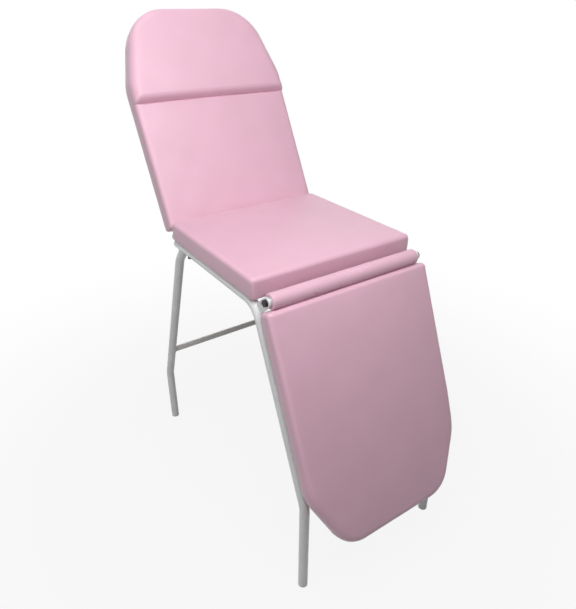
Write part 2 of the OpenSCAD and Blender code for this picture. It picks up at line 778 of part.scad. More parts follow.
// Hinge bolts of the leg rest, dark heads outwards
module leg_hinge_bolts() {
  color(bolt_black) for (side = [-1, 1]) on_side(side) translate([0, roller_y, roller_z]) {
    head_x = leg_plate_x + plate_thick + plate_play;
    x_bar(leg_bolt_r, leg_wheel_x - leg_bolt_d - plate_thick, head_x);
    translate([head_x, 0, 0]) rotate([0, 90, 0]) hex(leg_bolt_d * hex_share, leg_bolt_d * head_share);
  }
}

// Round nuts welded inside the ends of the core tube
module leg_hinge_nuts() {
  color(zinc_grey) for (side = [-1, 1]) on_side(side) translate([0, roller_y, roller_z]) difference() {
    x_bar(tube_bore_r - plug_fit, leg_wheel_x - leg_bolt_d, leg_wheel_x);
    x_bar(leg_bolt_r, leg_wheel_x - leg_bolt_d - cut, leg_wheel_x + cut);
  }
}

// Angle arm of the leg rest: a hook from the core tube, a web and a flange under the board
module leg_arm(side) {
  behind = -leg_back - soft_gap;
  bar_y = -leg_top - leg_arm_length;
  end = bar_y + stop_bar_r / 2;
  color(enamel_grey) on_leg() scale_side(side) difference() {
    union() {
      side_plate(leg_arm_x, plate_thick) {
        hull() {
          circle(r = hook_r);
          translate([0, behind - arm_web / 2]) circle(r = hook_r);
        }
        translate([end, behind - arm_web]) square([-end, arm_web]);
      }
      translate([leg_arm_x - arm_flange, end, behind - plate_thick])
        cube([arm_flange + plate_thick / 2, leg_arm_length - arm_flange, plate_thick]);
    }
    x_bar(tube_r, 0, leg_wheel_x);
    translate([0, bar_y, behind - stop_bar_r]) x_bar(stop_bar_r, 0, leg_wheel_x);
    for (s = leg_screw_shares)
      translate([leg_screw_x, -leg_top - s * leg_arm_length, behind - plate_thick - cut])
        cylinder(r = screw_r + slide_fit, h = plate_thick + 2 * cut);
  }
}

// Bar across the ends of the arms, which meets the front legs when the leg rest hangs
module leg_stop_bar() {
  color(enamel_grey) on_leg() translate([0, -leg_top - leg_arm_length, -leg_back - soft_gap - stop_bar_r])
    difference() {
      x_bar(stop_bar_r, -half_track - tube_r / 2, half_track + tube_r / 2);
      x_bar(stop_bar_r - cross_wall, -half_track - tube_r, half_track + tube_r);
    }
}

// Places the leg rest pad: its far end hangs down
module leg_pad_place() {
  on_leg() translate([0, -leg_top, -leg_back]) mirror([0, 1, 0]) children();
}

module leg_board() {
  color(plywood_tan) leg_pad_place() difference() {
    board(half_width, leg_length, pad_corner_r, leg_taper_length, leg_taper_angle, leg_end_r);
    for (side = [-1, 1], s = leg_screw_shares)
      translate([side * leg_screw_x, s * leg_arm_length, -cut])
        cylinder(r = screw_r, h = screw_bite + cut);
  }
}

module leg_cover_wrap() {
  color(vinyl_pink) leg_pad_place()
    wrap(half_width, leg_length, pad_corner_r, leg_taper_length, leg_taper_angle, leg_end_r);
}

module leg_cushion() {
  color(vinyl_pink) leg_pad_place()
    pad(half_width, leg_length, board_thick, leg_thick, pad_edge_r, pad_corner_r,
        leg_taper_length, leg_taper_angle, leg_end_r, crown);
}

module leg_arm_screws() {
  behind = -soft_gap - plate_thick;
  color(zinc_grey) leg_pad_place() for (side = [-1, 1], s = leg_screw_shares)
    translate([side * leg_screw_x, s * leg_arm_length, behind]) screw(plate_thick + soft_gap);
}

seat_rail(-1);  // seat_rail_left
seat_rail(1);  // seat_rail_right
front_leg(-1);  // front_leg_left
front_leg(1);  // front_leg_right
rear_leg(-1);  // rear_leg_left
rear_leg(1);  // rear_leg_right
rear_stretcher();
seat_cross_tube(cross_front_y);  // seat_cross_tube_front
seat_cross_tube(cross_rear_y);  // seat_cross_tube_rear
foot_cap(-1, front_foot_y);  // foot_cap_front_left
foot_cap(1, front_foot_y);  // foot_cap_front_right
foot_cap(-1, rear_foot_y);  // foot_cap_rear_left
foot_cap(1, rear_foot_y);  // foot_cap_rear_right
rail_plug(-1);  // rail_plug_left
rail_plug(1);  // rail_plug_right
seat_board();
seat_cover_wrap();
seat_cushion();
seat_bolts();
leg_hinge_plate(-1);  // leg_hinge_plate_left
leg_hinge_plate(1);  // leg_hinge_plate_right
leg_hinge_pawl(-1);  // leg_hinge_pawl_left
leg_hinge_pawl(1);  // leg_hinge_pawl_right
back_hinge_plate(-1);  // back_hinge_plate_left
back_hinge_plate(1);  // back_hinge_plate_right
back_hinge_pawl(-1);  // back_hinge_pawl_left
back_hinge_pawl(1);  // back_hinge_pawl_right
pawl_rivets();
back_arm(-1);  // back_arm_left
back_arm(1);  // back_arm_right
back_hinge_bolts();
back_hinge_nuts();
back_board();
back_cover_wrap();
back_cushion();
headrest_cushion();
back_arm_screws();
leg_core_tube();
knee_roller_cover();
leg_wheel(-1);  // leg_wheel_left
leg_wheel(1);  // leg_wheel_right
leg_hinge_bolts();
leg_hinge_nuts();
leg_arm(-1);  // leg_arm_left
leg_arm(1);  // leg_arm_right
leg_stop_bar();
leg_board();
leg_cover_wrap();
leg_cushion();
leg_arm_screws();
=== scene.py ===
import json
import math

import bmesh
import bpy
import numpy as np
from mathutils import Matrix, Vector


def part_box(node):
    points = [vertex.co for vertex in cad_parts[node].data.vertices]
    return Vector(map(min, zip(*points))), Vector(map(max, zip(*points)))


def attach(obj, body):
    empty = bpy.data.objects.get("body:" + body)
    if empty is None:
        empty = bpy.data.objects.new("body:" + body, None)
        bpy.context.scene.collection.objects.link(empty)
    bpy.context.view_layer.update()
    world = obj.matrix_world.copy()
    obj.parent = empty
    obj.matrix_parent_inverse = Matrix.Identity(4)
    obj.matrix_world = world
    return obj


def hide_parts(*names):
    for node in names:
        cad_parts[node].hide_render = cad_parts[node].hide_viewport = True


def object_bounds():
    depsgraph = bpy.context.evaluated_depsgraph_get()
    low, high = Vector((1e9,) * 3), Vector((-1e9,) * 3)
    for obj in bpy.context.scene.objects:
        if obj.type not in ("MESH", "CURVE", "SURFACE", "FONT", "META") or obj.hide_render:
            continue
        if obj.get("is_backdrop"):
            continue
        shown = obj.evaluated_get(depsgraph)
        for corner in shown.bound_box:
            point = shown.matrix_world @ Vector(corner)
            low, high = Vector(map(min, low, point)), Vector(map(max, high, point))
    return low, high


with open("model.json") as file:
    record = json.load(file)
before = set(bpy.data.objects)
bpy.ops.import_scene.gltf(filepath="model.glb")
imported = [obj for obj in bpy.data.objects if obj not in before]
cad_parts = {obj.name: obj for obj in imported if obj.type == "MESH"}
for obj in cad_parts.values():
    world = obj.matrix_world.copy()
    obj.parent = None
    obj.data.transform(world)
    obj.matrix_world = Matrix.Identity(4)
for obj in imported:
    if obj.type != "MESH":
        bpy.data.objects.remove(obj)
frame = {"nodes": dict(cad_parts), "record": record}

bl_info = {
    "name": "Treatment couch",
    "version": (1, 0, 0),
    "blender": (4, 5, 0),
    "location": "View3D > Sidebar > Couch",
    "description": "Upholstery, welds, finishes and studio for a reclining treatment couch",
    "category": "Object",
}

CAD_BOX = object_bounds()
JOINTS = {j["name"]: j for j in frame["record"]["behaviour"]["joints"]}
BACK_RISE = math.radians(JOINTS["backrest"]["range_deg"][1])
LEG_DROP = math.radians(JOINTS["leg_rest"]["range_deg"][1])
TURN = 2 * math.pi
TOUCH = 0.0001  # places closer than this count as the same surface


# Sizes and colours that a user would change

def length_size(name, description, default, low, high):
    return bpy.props.FloatProperty(name=name, description=description, default=default,
                                   min=low, max=high, unit="LENGTH")


def angle_size(name, description, degrees, low=-180, high=180):
    return bpy.props.FloatProperty(
        name=name, description=description, default=math.radians(degrees),
        min=math.radians(low), max=math.radians(high), subtype="ANGLE", unit="ROTATION")


def lamp_power(name, where, default):
    return bpy.props.FloatProperty(name=name, description="Power of the soft lamp " + where,
                                   default=default, min=0, unit="POWER")


def hex_colour(name, what, default):
    return bpy.props.StringProperty(
        name=name, description=what + " colour as an sRGB hex value", default=default)


class PadSizes(bpy.types.PropertyGroup):
    edge_radius: length_size(
        "Edge radius", "Rounding along the edges of the flat pads", 0.011, 0.004, 0.02)
    headrest_edge_radius: length_size(
        "Headrest edge radius", "Rounding along the edges of the headrest", 0.024, 0.01, 0.03)
    corner_radius: length_size(
        "Corner radius", "Square pad corners seen from above", 0.011, 0.004, 0.03)
    crown: length_size(
        "Crown", "Rise of the middle of each pad above its edges", 0.005, 0, 0.01)
    headrest_start: length_size(
        "Headrest start", "Length up the backrest where the headrest starts", 0.35, 0.3, 0.4)
    lower_thickness: length_size(
        "Lower thickness", "Backrest thickness below the headrest", 0.051, 0.04, 0.06)
    crease_depth: length_size(
        "Crease depth", "How far the seam under the headrest pulls in", 0.007, 0, 0.015)
    back_taper_length: length_size(
        "Backrest taper", "Length of the backrest end that is drawn in", 0.2, 0.1, 0.3)
    back_taper_angle: angle_size(
        "Backrest taper angle", "Angle of the drawn in backrest sides", 16, 0, 30)
    back_end_radius: length_size(
        "Backrest end radius", "Radius of the upper backrest corners", 0.126, 0.05, 0.18)
    leg_taper_length: length_size(
        "Leg rest taper", "Length of the leg rest end that is drawn in", 0.154, 0.1, 0.3)
    leg_taper_angle: angle_size(
        "Leg rest taper angle", "Angle of the drawn in leg rest sides", 26, 0, 35)
    leg_end_softness: length_size(
        "Leg rest end softness", "Edge rounding at the drawn in end", 0.02, 0.008, 0.026)
    leg_end_radius: length_size(
        "Leg rest end radius", "Radius of the lower leg rest corners", 0.084, 0.05, 0.18)
    side_radius: length_size(
        "Side rounding", "Radius where the pad sides start to draw in", 0.13, 0.05, 0.2)
    corner_seam: length_size(
        "Corner seam", "How far the sewn corners of the covers stand out", 0.001, 0, 0.002)
    cover_turn: length_size(
        "Cover turn-in", "Width of the cover that is turned in under a board", 0.02, 0.01, 0.04)
    cover_thickness: length_size(
        "Cover thickness", "Thickness of the cover under a board", 0.00025, 0.0001, 0.0003)


class RollerSizes(bpy.types.PropertyGroup):
    end_radius: length_size("End radius", "Rounding of the roller ends", 0.004, 0.001, 0.008)
    wrinkle_depth: length_size(
        "Wrinkle depth", "Depth of the slack wrinkles at mid length", 0.0022, 0, 0.003)


class WeldSizes(bpy.types.PropertyGroup):
    bead_radius: length_size(
        "Bead radius", "Radius of the weld beads where tubes meet", 0.0017, 0.0005, 0.003)
    ripple_spacing: length_size(
        "Ripple spacing", "Distance between the ripples of a weld bead", 0.0022, 0.001, 0.005)
    front_bend_radius: length_size(
        "Front bend radius", "Middle line radius where the rails turn down", 0.06, 0.04, 0.08)
    rear_leg_lean: angle_size("Rear leg lean", "Lean of the rear legs from upright", 21, 0, 30)
    rear_top_lean: angle_size(
        "Rear top lean", "Extra lean of the rear legs at their tops", 20, 0, 30)


class Finishes(bpy.types.PropertyGroup):
    vinyl: hex_colour("Vinyl", "Upholstery", "#e4b7c9")
    enamel: hex_colour("Enamel", "Frame", "#eeefef")
    zinc: hex_colour("Zinc", "Zinc plate", "#b9bec2")
    oxide: hex_colour("Black oxide", "Dark bolt", "#1c1116")
    cap: hex_colour("Cap", "Foot cap and rail plug", "#dfe1e1")
    veneer: hex_colour("Veneer", "Board", "#cfae7f")
    floor: hex_colour("Floor", "Studio floor", "#a8a8a8")


class StageSizes(bpy.types.PropertyGroup):
    lens: bpy.props.FloatProperty(
        name="Lens", description="Focal length on a 36 mm sensor, for the photo's perspective",
        default=32.25, min=10, max=120)
    yaw: angle_size("Camera yaw", "How far the camera turns to the right of +Y", 34.05)
    pitch: angle_size("Camera pitch", "How far the camera looks down", 29.11)
    roll: angle_size("Camera roll", "Turn of the camera about its own view", 0.04)
    place: bpy.props.FloatVectorProperty(
        name="Camera place", description="Where the camera stands", size=3,
        default=(-0.7712, -1.1481, 1.3537), unit="LENGTH")
    shift: bpy.props.FloatProperty(
        name="Camera shift", description="Sideways shift as a share of the picture's height",
        default=2.34 / 609, min=-0.1, max=0.1, subtype="FACTOR")
    front_power: lamp_power("Front light", "above the left front", 21.0)
    top_power: lamp_power("Top light", "above the headrest", 6.5)
    side_power: lamp_power("Side light", "at the left", 9.0)
    corner_power: lamp_power("Corner light", "high at the left corner", 2.0)
    rear_power: lamp_power("Rear light", "behind the backrest", 12.0)
    sky: bpy.props.FloatProperty(
        name="Sky", description="Strength of the even light from all round", default=0.04, min=0)


# Meshes

def smooth_step(t):
    t = np.clip(t, 0, 1)
    return t * t * (3 - 2 * t)


def node_points(name):
    """The points of a CAD node, one to a row."""
    return np.array([v.co for v in frame["nodes"][name].data.vertices])


def new_object(data):
    """An object of the same name in the scene."""
    item = bpy.data.objects.new(data.name, data)
    bpy.context.scene.collection.objects.link(item)
    return item


def new_piece(name, points, faces, material, smooth=True):
    """An object in the row frame from points in metres."""
    mesh = bpy.data.meshes.new(name)
    mesh.from_pydata([tuple(p) for p in points], [], faces)
    mesh.update()
    piece = new_object(mesh)
    mesh.materials.append(material)
    work = bmesh.new()
    work.from_mesh(mesh)
    bmesh.ops.remove_doubles(work, verts=work.verts, dist=1e-6)
    bmesh.ops.recalc_face_normals(work, faces=work.faces)
    work.to_mesh(mesh)
    work.free()
    for polygon in mesh.polygons:
        polygon.use_smooth = smooth
    return piece


def band(a, b, closed=True):
    """Faces between two rows of point numbers."""
    a, b = [int(i) for i in a], [int(i) for i in b]
    if closed:
        a, b = a + a[:1], b + b[:1]
    return [(a[i], a[i + 1], b[i + 1], b[i]) for i in range(len(a) - 1)]


def tube_faces(count, sides, closed):
    """Faces of a tube with this many rings, closed to a loop or with two flat ends."""
    rings = [range(j * sides, (j + 1) * sides) for j in range(count)]
    following = rings[1:] + rings[:1] if closed else rings[1:]
    faces = [face for a, b in zip(rings, following) for face in band(a, b)]
    return faces if closed else faces + [tuple(rings[0]), tuple(reversed(rings[-1]))]


def circle(centre, side, other, radius, sides):
    """Points round a centre in the plane of two directions."""
    return [centre + radius * (math.cos(TURN * k / sides) * side
                               + math.sin(TURN * k / sides) * other) for k in range(sides)]


def joined(parts):
    """One list of points and one of faces from several."""
    verts, faces = [], []
    for v, f in parts:
        shift = len(verts)
        verts += [tuple(p) for p in v]
        faces += [tuple(i + shift for i in face) for face in f]
    return verts, faces


# Shader nodes

def linear(hex_value, factor=1.0):
    """sRGB hex to a linear colour, lighter or darker by a factor on its sRGB values."""
    parts = [int(hex_value.lstrip("#")[i:i + 2], 16) for i in (0, 2, 4)]
    parts = [max(0, min(255, round(c * factor))) / 255 for c in parts]
    return tuple(c / 12.92 if c <= 0.04045 else ((c + 0.055) / 1.055) ** 2.4
                 for c in parts) + (1.0,)


def add_node(tree, kind, links=(), **settings):
    """Adds a shader node. A setting named for an input sets it, any other sets a property;
    each link is (input name or index, output socket)."""
    node = tree.nodes.new(kind)
    for key, value in settings.items():
        if key in node.inputs:
            node.inputs[key].default_value = value
        else:
            setattr(node, key, value)
    for key, socket in links:
        tree.links.new(socket, node.inputs[key])
    return node


def set_ramp(node, *stops):
    """Colour stops for a ramp: (position, hex) or (position, hex, its factor)."""
    elements = node.color_ramp.elements
    elements.remove(elements[1])
    for i, (position, *colour) in enumerate(stops):
        element = elements.new(position) if i else elements[0]
        element.position, element.color = position, linear(*colour)


def seen_directly(tree):
    """1 for rays from the camera, in mirrors and through glass, and 0 for the light's own."""
    rays = add_node(tree, "ShaderNodeLightPath").outputs
    clear = add_node(tree, "ShaderNodeMath", [(0, rays["Is Camera Ray"]),
                                              (1, rays["Is Transmission Ray"])],
                     operation="MAXIMUM")
    return add_node(tree, "ShaderNodeMath", [(0, clear.outputs[0]), (1, rays["Is Glossy Ray"])],
                    operation="MAXIMUM").outputs[0]


def dress(tree, inputs):
    """Sets the material's shader inputs: a socket is linked, a number or colour is written."""
    shader = tree.nodes["Principled BSDF"]
    for name, value in inputs.items():
        if isinstance(value, bpy.types.NodeSocket):
            tree.links.new(value, shader.inputs[name])
        else:
            shader.inputs[name].default_value = value
    return shader.outputs[0]


def drawn_once(name):
    """Turns a function that draws a material's nodes into one that gives the material."""
    def wrap(draw):
        def give():
            material = bpy.data.materials.get(name)
            if material is None:
                material = bpy.data.materials.new(name)
                material.use_nodes = True
                draw(material.node_tree, bpy.context.scene.couch_finishes)
            return material
        return give
    return wrap


# Materials

@drawn_once("calendered_pvc_vinyl")
def upholstery_vinyl(tree, colours):
    """Calendered PVC upholstery vinyl: an even pink skin with a fine embossed leather grain,
    a soft semi-matte sheen and faint cloudiness from the foam under it."""
    place = add_node(tree, "ShaderNodeTexCoord").outputs["Object"]
    # cloudiness about 90 mm across
    cloud = add_node(tree, "ShaderNodeTexNoise", [("Vector", place)],
                     Scale=1 / 0.090, Detail=2.0)
    ramp = add_node(tree, "ShaderNodeValToRGB", [("Fac", cloud.outputs["Fac"])])
    set_ramp(ramp, (0.3, colours.vinyl, 0.99), (0.7, colours.vinyl, 1.008))
    # embossed grain: real pebbles are about 0.8 mm, drawn at 1.6 mm so that they show at all
    pebbles = add_node(tree, "ShaderNodeTexVoronoi", [("Vector", place)],
                       feature="SMOOTH_F1", Scale=1 / 0.0016, Smoothness=0.4)
    grain = add_node(tree, "ShaderNodeBump", [("Height", pebbles.outputs["Distance"])],
                     Strength=0.30, Distance=0.0004)
    # foam gives under the skin in soft waves about 45 mm apart
    swell = add_node(tree, "ShaderNodeTexNoise", [("Vector", place)],
                     Scale=1 / 0.045, Detail=1.0)
    wave = add_node(tree, "ShaderNodeBump", [("Height", swell.outputs["Fac"]),
                                             ("Normal", grain.outputs["Normal"])],
                    Strength=0.04, Distance=0.002)
    # handling polishes it in spots about 4 mm across
    spots = add_node(tree, "ShaderNodeTexNoise", [("Vector", place)],
                     Scale=1 / 0.004, Detail=3.0)
    dull = add_node(tree, "ShaderNodeMapRange", [("Value", spots.outputs["Fac"])],
                    **{"To Min": 0.34, "To Max": 0.44})
    dress(tree, {
        "Base Color": ramp.outputs["Color"], "Roughness": dull.outputs["Result"],
        "Normal": wave.outputs["Normal"], "IOR": 1.50,
        "Sheen Weight": 0.15, "Sheen Roughness": 0.5})


@drawn_once("stoved_enamel_on_steel")
def frame_enamel(tree, colours):
    """Sprayed and stoved enamel on steel tube: pale grey, glossy, with a slight orange peel
    and a little dulling where hands and feet rub it."""
    place = add_node(tree, "ShaderNodeTexCoord").outputs["Object"]
    # orange peel: ripples about 3 mm apart
    peel = add_node(tree, "ShaderNodeTexNoise", [("Vector", place)],
                    Scale=1 / 0.003, Detail=1.0)
    ripples = add_node(tree, "ShaderNodeBump", [("Height", peel.outputs["Fac"])],
                       Strength=0.06, Distance=0.0004)
    # wear and dust patches about 60 mm long
    wear = add_node(tree, "ShaderNodeTexNoise", [("Vector", place)],
                    Scale=1 / 0.060, Detail=4.0)
    dull = add_node(tree, "ShaderNodeMapRange", [("Value", wear.outputs["Fac"])],
                    **{"To Min": 0.24, "To Max": 0.40})
    ramp = add_node(tree, "ShaderNodeValToRGB", [("Fac", wear.outputs["Fac"])])
    set_ramp(ramp, (0.35, colours.enamel, 0.965), (0.65, colours.enamel))
    dress(tree, {
        "Base Color": ramp.outputs["Color"], "Roughness": dull.outputs["Result"],
        "Normal": ripples.outputs["Normal"], "IOR": 1.52,
        "Coat Weight": 0.25, "Coat Roughness": 0.15})


@drawn_once("bright_zinc_plate")
def zinc_plate(tree, colours):
    """Bright zinc plate on steel: a metal with soft blotches in its passivation."""
    place = add_node(tree, "ShaderNodeTexCoord").outputs["Object"]
    # passivation blotches about 6 mm across
    blotch = add_node(tree, "ShaderNodeTexNoise", [("Vector", place)],
                      Scale=1 / 0.006, Detail=3.0)
    ramp = add_node(tree, "ShaderNodeValToRGB", [("Fac", blotch.outputs["Fac"])])
    set_ramp(ramp, (0.3, colours.zinc, 0.92), (0.7, colours.zinc, 1.04))
    dull = add_node(tree, "ShaderNodeMapRange", [("Value", blotch.outputs["Fac"])],
                    **{"To Min": 0.40, "To Max": 0.55})
    dress(tree, {
        "Base Color": ramp.outputs["Color"], "Roughness": dull.outputs["Result"],
        "Metallic": 1.0})


@drawn_once("black_oxide_steel")
def black_oxide(tree, colours):
    """Black oxide on steel bolts: dark, oily and satin, a little brown where it is rubbed."""
    place = add_node(tree, "ShaderNodeTexCoord").outputs["Object"]
    # rub marks about 2 mm apart
    rub = add_node(tree, "ShaderNodeTexNoise", [("Vector", place)],
                   Scale=1 / 0.002, Detail=4.0)
    ramp = add_node(tree, "ShaderNodeValToRGB", [("Fac", rub.outputs["Fac"])])
    set_ramp(ramp, (0.4, colours.oxide), (0.8, colours.oxide, 1.5))
    dull = add_node(tree, "ShaderNodeMapRange", [("Value", rub.outputs["Fac"])],
                    **{"To Min": 0.32, "To Max": 0.50})
    dress(tree, {
        "Base Color": ramp.outputs["Color"], "Roughness": dull.outputs["Result"],
        "Metallic": 0.3, "Specular IOR Level": 0.35})


@drawn_once("moulded_polythene")
def moulded_polythene(tree, colours):
    """Injection moulded polythene caps: waxy, pale, finely spark eroded by their mould."""
    place = add_node(tree, "ShaderNodeTexCoord").outputs["Object"]
    # mould texture: spark erosion is about 0.1 mm, drawn at 0.6 mm so that it shows
    spark = add_node(tree, "ShaderNodeTexNoise", [("Vector", place)],
                     Scale=1 / 0.0006, Detail=2.0)
    pits = add_node(tree, "ShaderNodeBump", [("Height", spark.outputs["Fac"])],
                    Strength=0.15, Distance=0.0001)
    # scuffs about 12 mm across
    scuff = add_node(tree, "ShaderNodeTexNoise", [("Vector", place)],
                     Scale=1 / 0.012, Detail=3.0)
    ramp = add_node(tree, "ShaderNodeValToRGB", [("Fac", scuff.outputs["Fac"])])
    set_ramp(ramp, (0.35, colours.cap, 0.93), (0.6, colours.cap))
    dress(tree, {
        "Base Color": ramp.outputs["Color"], "Normal": pits.outputs["Normal"],
        "Roughness": 0.45, "IOR": 1.51})


@drawn_once("rotary_cut_birch_plywood")
def birch_plywood(tree, colours):
    """Rotary cut birch plywood: pale tan with long wandering grain, sanded and unsealed."""
    place = add_node(tree, "ShaderNodeTexCoord").outputs["Object"]
    # grain lines about 5 mm apart across the couch and 300 mm long along it
    stretch = add_node(tree, "ShaderNodeMapping", [("Vector", place)],
                       Scale=(1 / 0.005, 1 / 0.300, 1 / 0.300))
    lines = add_node(tree, "ShaderNodeTexNoise", [("Vector", stretch.outputs["Vector"])],
                     Scale=1.0, Detail=5.0, Roughness=0.6, Distortion=0.4)
    ramp = add_node(tree, "ShaderNodeValToRGB", [("Fac", lines.outputs["Fac"])])
    set_ramp(ramp, (0.32, colours.veneer, 0.78), (0.52, colours.veneer),
             (0.72, colours.veneer, 1.08))
    # pores about 0.8 mm wide and 12 mm long
    squeeze = add_node(tree, "ShaderNodeMapping", [("Vector", place)],
                       Scale=(1 / 0.0008, 1 / 0.012, 1 / 0.012))
    dots = add_node(tree, "ShaderNodeTexNoise", [("Vector", squeeze.outputs["Vector"])],
                    Scale=1.0, Detail=2.0)
    pores = add_node(tree, "ShaderNodeBump", [("Height", dots.outputs["Fac"])],
                     Strength=0.25, Distance=0.0003)
    dress(tree, {
        "Base Color": ramp.outputs["Color"], "Normal": pores.outputs["Normal"],
        "Roughness": 0.62, "IOR": 1.50})


@drawn_once("pale_studio_floor")
def studio_floor(tree, colours):
    """Smooth painted floor: white where it is seen, a little less so round the couch so that
    its shadow stays, and matt grey to the light."""
    paint = dress(tree, {"Base Color": linear(colours.floor), "Roughness": 0.9,
                         "Specular IOR Level": 0.1})
    glow = add_node(tree, "ShaderNodeEmission", Color=linear("#ffffff"), Strength=1.0)
    place = add_node(tree, "ShaderNodeTexCoord").outputs["Object"]
    far = add_node(tree, "ShaderNodeVectorMath", [(0, place)], operation="LENGTH")
    # the white's share grows from 0.5 m to 1.9 m off the middle
    white = add_node(tree, "ShaderNodeMapRange", [("Value", far.outputs["Value"])],
                     interpolation_type="SMOOTHSTEP",
                     **{"From Min": 0.5, "From Max": 1.9, "To Min": 0.90, "To Max": 1.0})
    share = add_node(tree, "ShaderNodeMath", [(0, seen_directly(tree)), (1, white.outputs[0])],
                     operation="MULTIPLY")
    mix = add_node(tree, "ShaderNodeMixShader",
                   [("Fac", share.outputs[0]), (1, paint), (2, glow.outputs[0])])
    tree.links.new(mix.outputs[0], tree.nodes["Material Output"].inputs["Surface"])


# Pads

COVER_OVERHANG = 0.003  # from a board's edge to the outside of its cover
PAD_FILL, ROLLER_FILL = 0.95, 0.9

# distances from a pad's ends and sides where its face has rows, close where the edge rounds
END_ROWS = np.array([0, 0.0003, 0.0008, 0.0015, 0.0023, 0.0032, 0.0042, 0.0055, 0.0072,
                     0.0092, 0.0125, 0.018, 0.026])
SIDE_ROWS = np.array([0, 0.0003, 0.0012, 0.0028, 0.0052, 0.0085, 0.0125, 0.018, 0.026])
CREASE_ROWS = np.array([0.0008, 0.0016, 0.0026, 0.004, 0.0058, 0.008, 0.011, 0.015, 0.02, 0.025])
FIRST_ROW, ROW_STEP, LEAST_STEP = 0.03, 0.011, 0.00028
END_ARC_ROWS = 22  # round the corners of a drawn in end
OUTLINE_STEP = 0.002
HALF_COLUMNS = 17  # from the last side row to the middle
NARROW = 0.12  # half width under which the side rows move closer together

CROWN_REACH, SLACK_REACH = 0.02, 0.03  # from the edge to the full crown and unevenness
SLACK_DEPTH = 0.0006
SEAM_REACH, SEAM_WIDTH = 0.009, 0.0015  # half widths of a sewn corner on the face and wall

WALL_SHARES = (0.92, 0.8, 0.62, 0.42, 0.22)  # heights of the wall's rows
WALL_BELLY, WALL_LEAN = 0.0008, 0.0012  # out at mid height, and in at the foot
GATHER_PITCH, GATHER_DEPTH, FOOT_GATHER_DEPTH = 0.010, 0.0005, 0.0004
# bends in 1/m where gathers start and are full, and at which a corner is square and has none
GATHER_BEND, FULL_BEND, SQUARE_BEND = 2.0, 10.0, 40.0

CREASE_BELOW, CREASE_ABOVE = 0.0022, 0.0080  # half widths of the crease on both sides
CREASE_START, CREASE_FADE = 0.004, 0.016  # from the pad's edge, and on to its full depth
ROLL_LEAD, ROLL_BLEND = 0.01, 0.04  # where the headrest's rounding takes over
SOFT_LEAD, SOFT_BLEND = 0.12, 0.14  # where the leg rest's softer edge takes over


class PadPlace:
    """A pad's own axes: x across, v along from its hinge end, h out of the board's back.
    The angle turns them about X; a hanging pad runs along -Y. half and length are the covered
    pad's, and base is the board's thickness."""

    def __init__(self, board, angle, hangs=False):
        self.level, self.turn = Matrix.Rotation(-angle, 3, "X"), Matrix.Rotation(angle, 3, "X")
        local = np.array([self.level @ v.co for v in frame["nodes"][board].data.vertices])
        low, high = local.min(0), local.max(0)
        self.hangs, self.back, self.base = hangs, low[2], high[2] - low[2]
        self.end_y = high[1] + COVER_OVERHANG if hangs else low[1] - COVER_OVERHANG
        self.half = (high[0] - low[0]) / 2 + COVER_OVERHANG
        self.length = high[1] - low[1] + 2 * COVER_OVERHANG

    def world(self, points):
        """Rows of (x, v, h) to the row frame."""
        points = np.asarray(points, float)
        y = self.end_y - points[:, 1] if self.hangs else self.end_y + points[:, 1]
        local = np.column_stack([points[:, 0], y, self.back + points[:, 2]])
        return local @ np.array(self.turn).T

    def top(self, cushion):
        """Height of a CAD cushion's face over the board's back."""
        return (node_points(cushion) @ np.array(self.level).T)[:, 2].max() - self.back


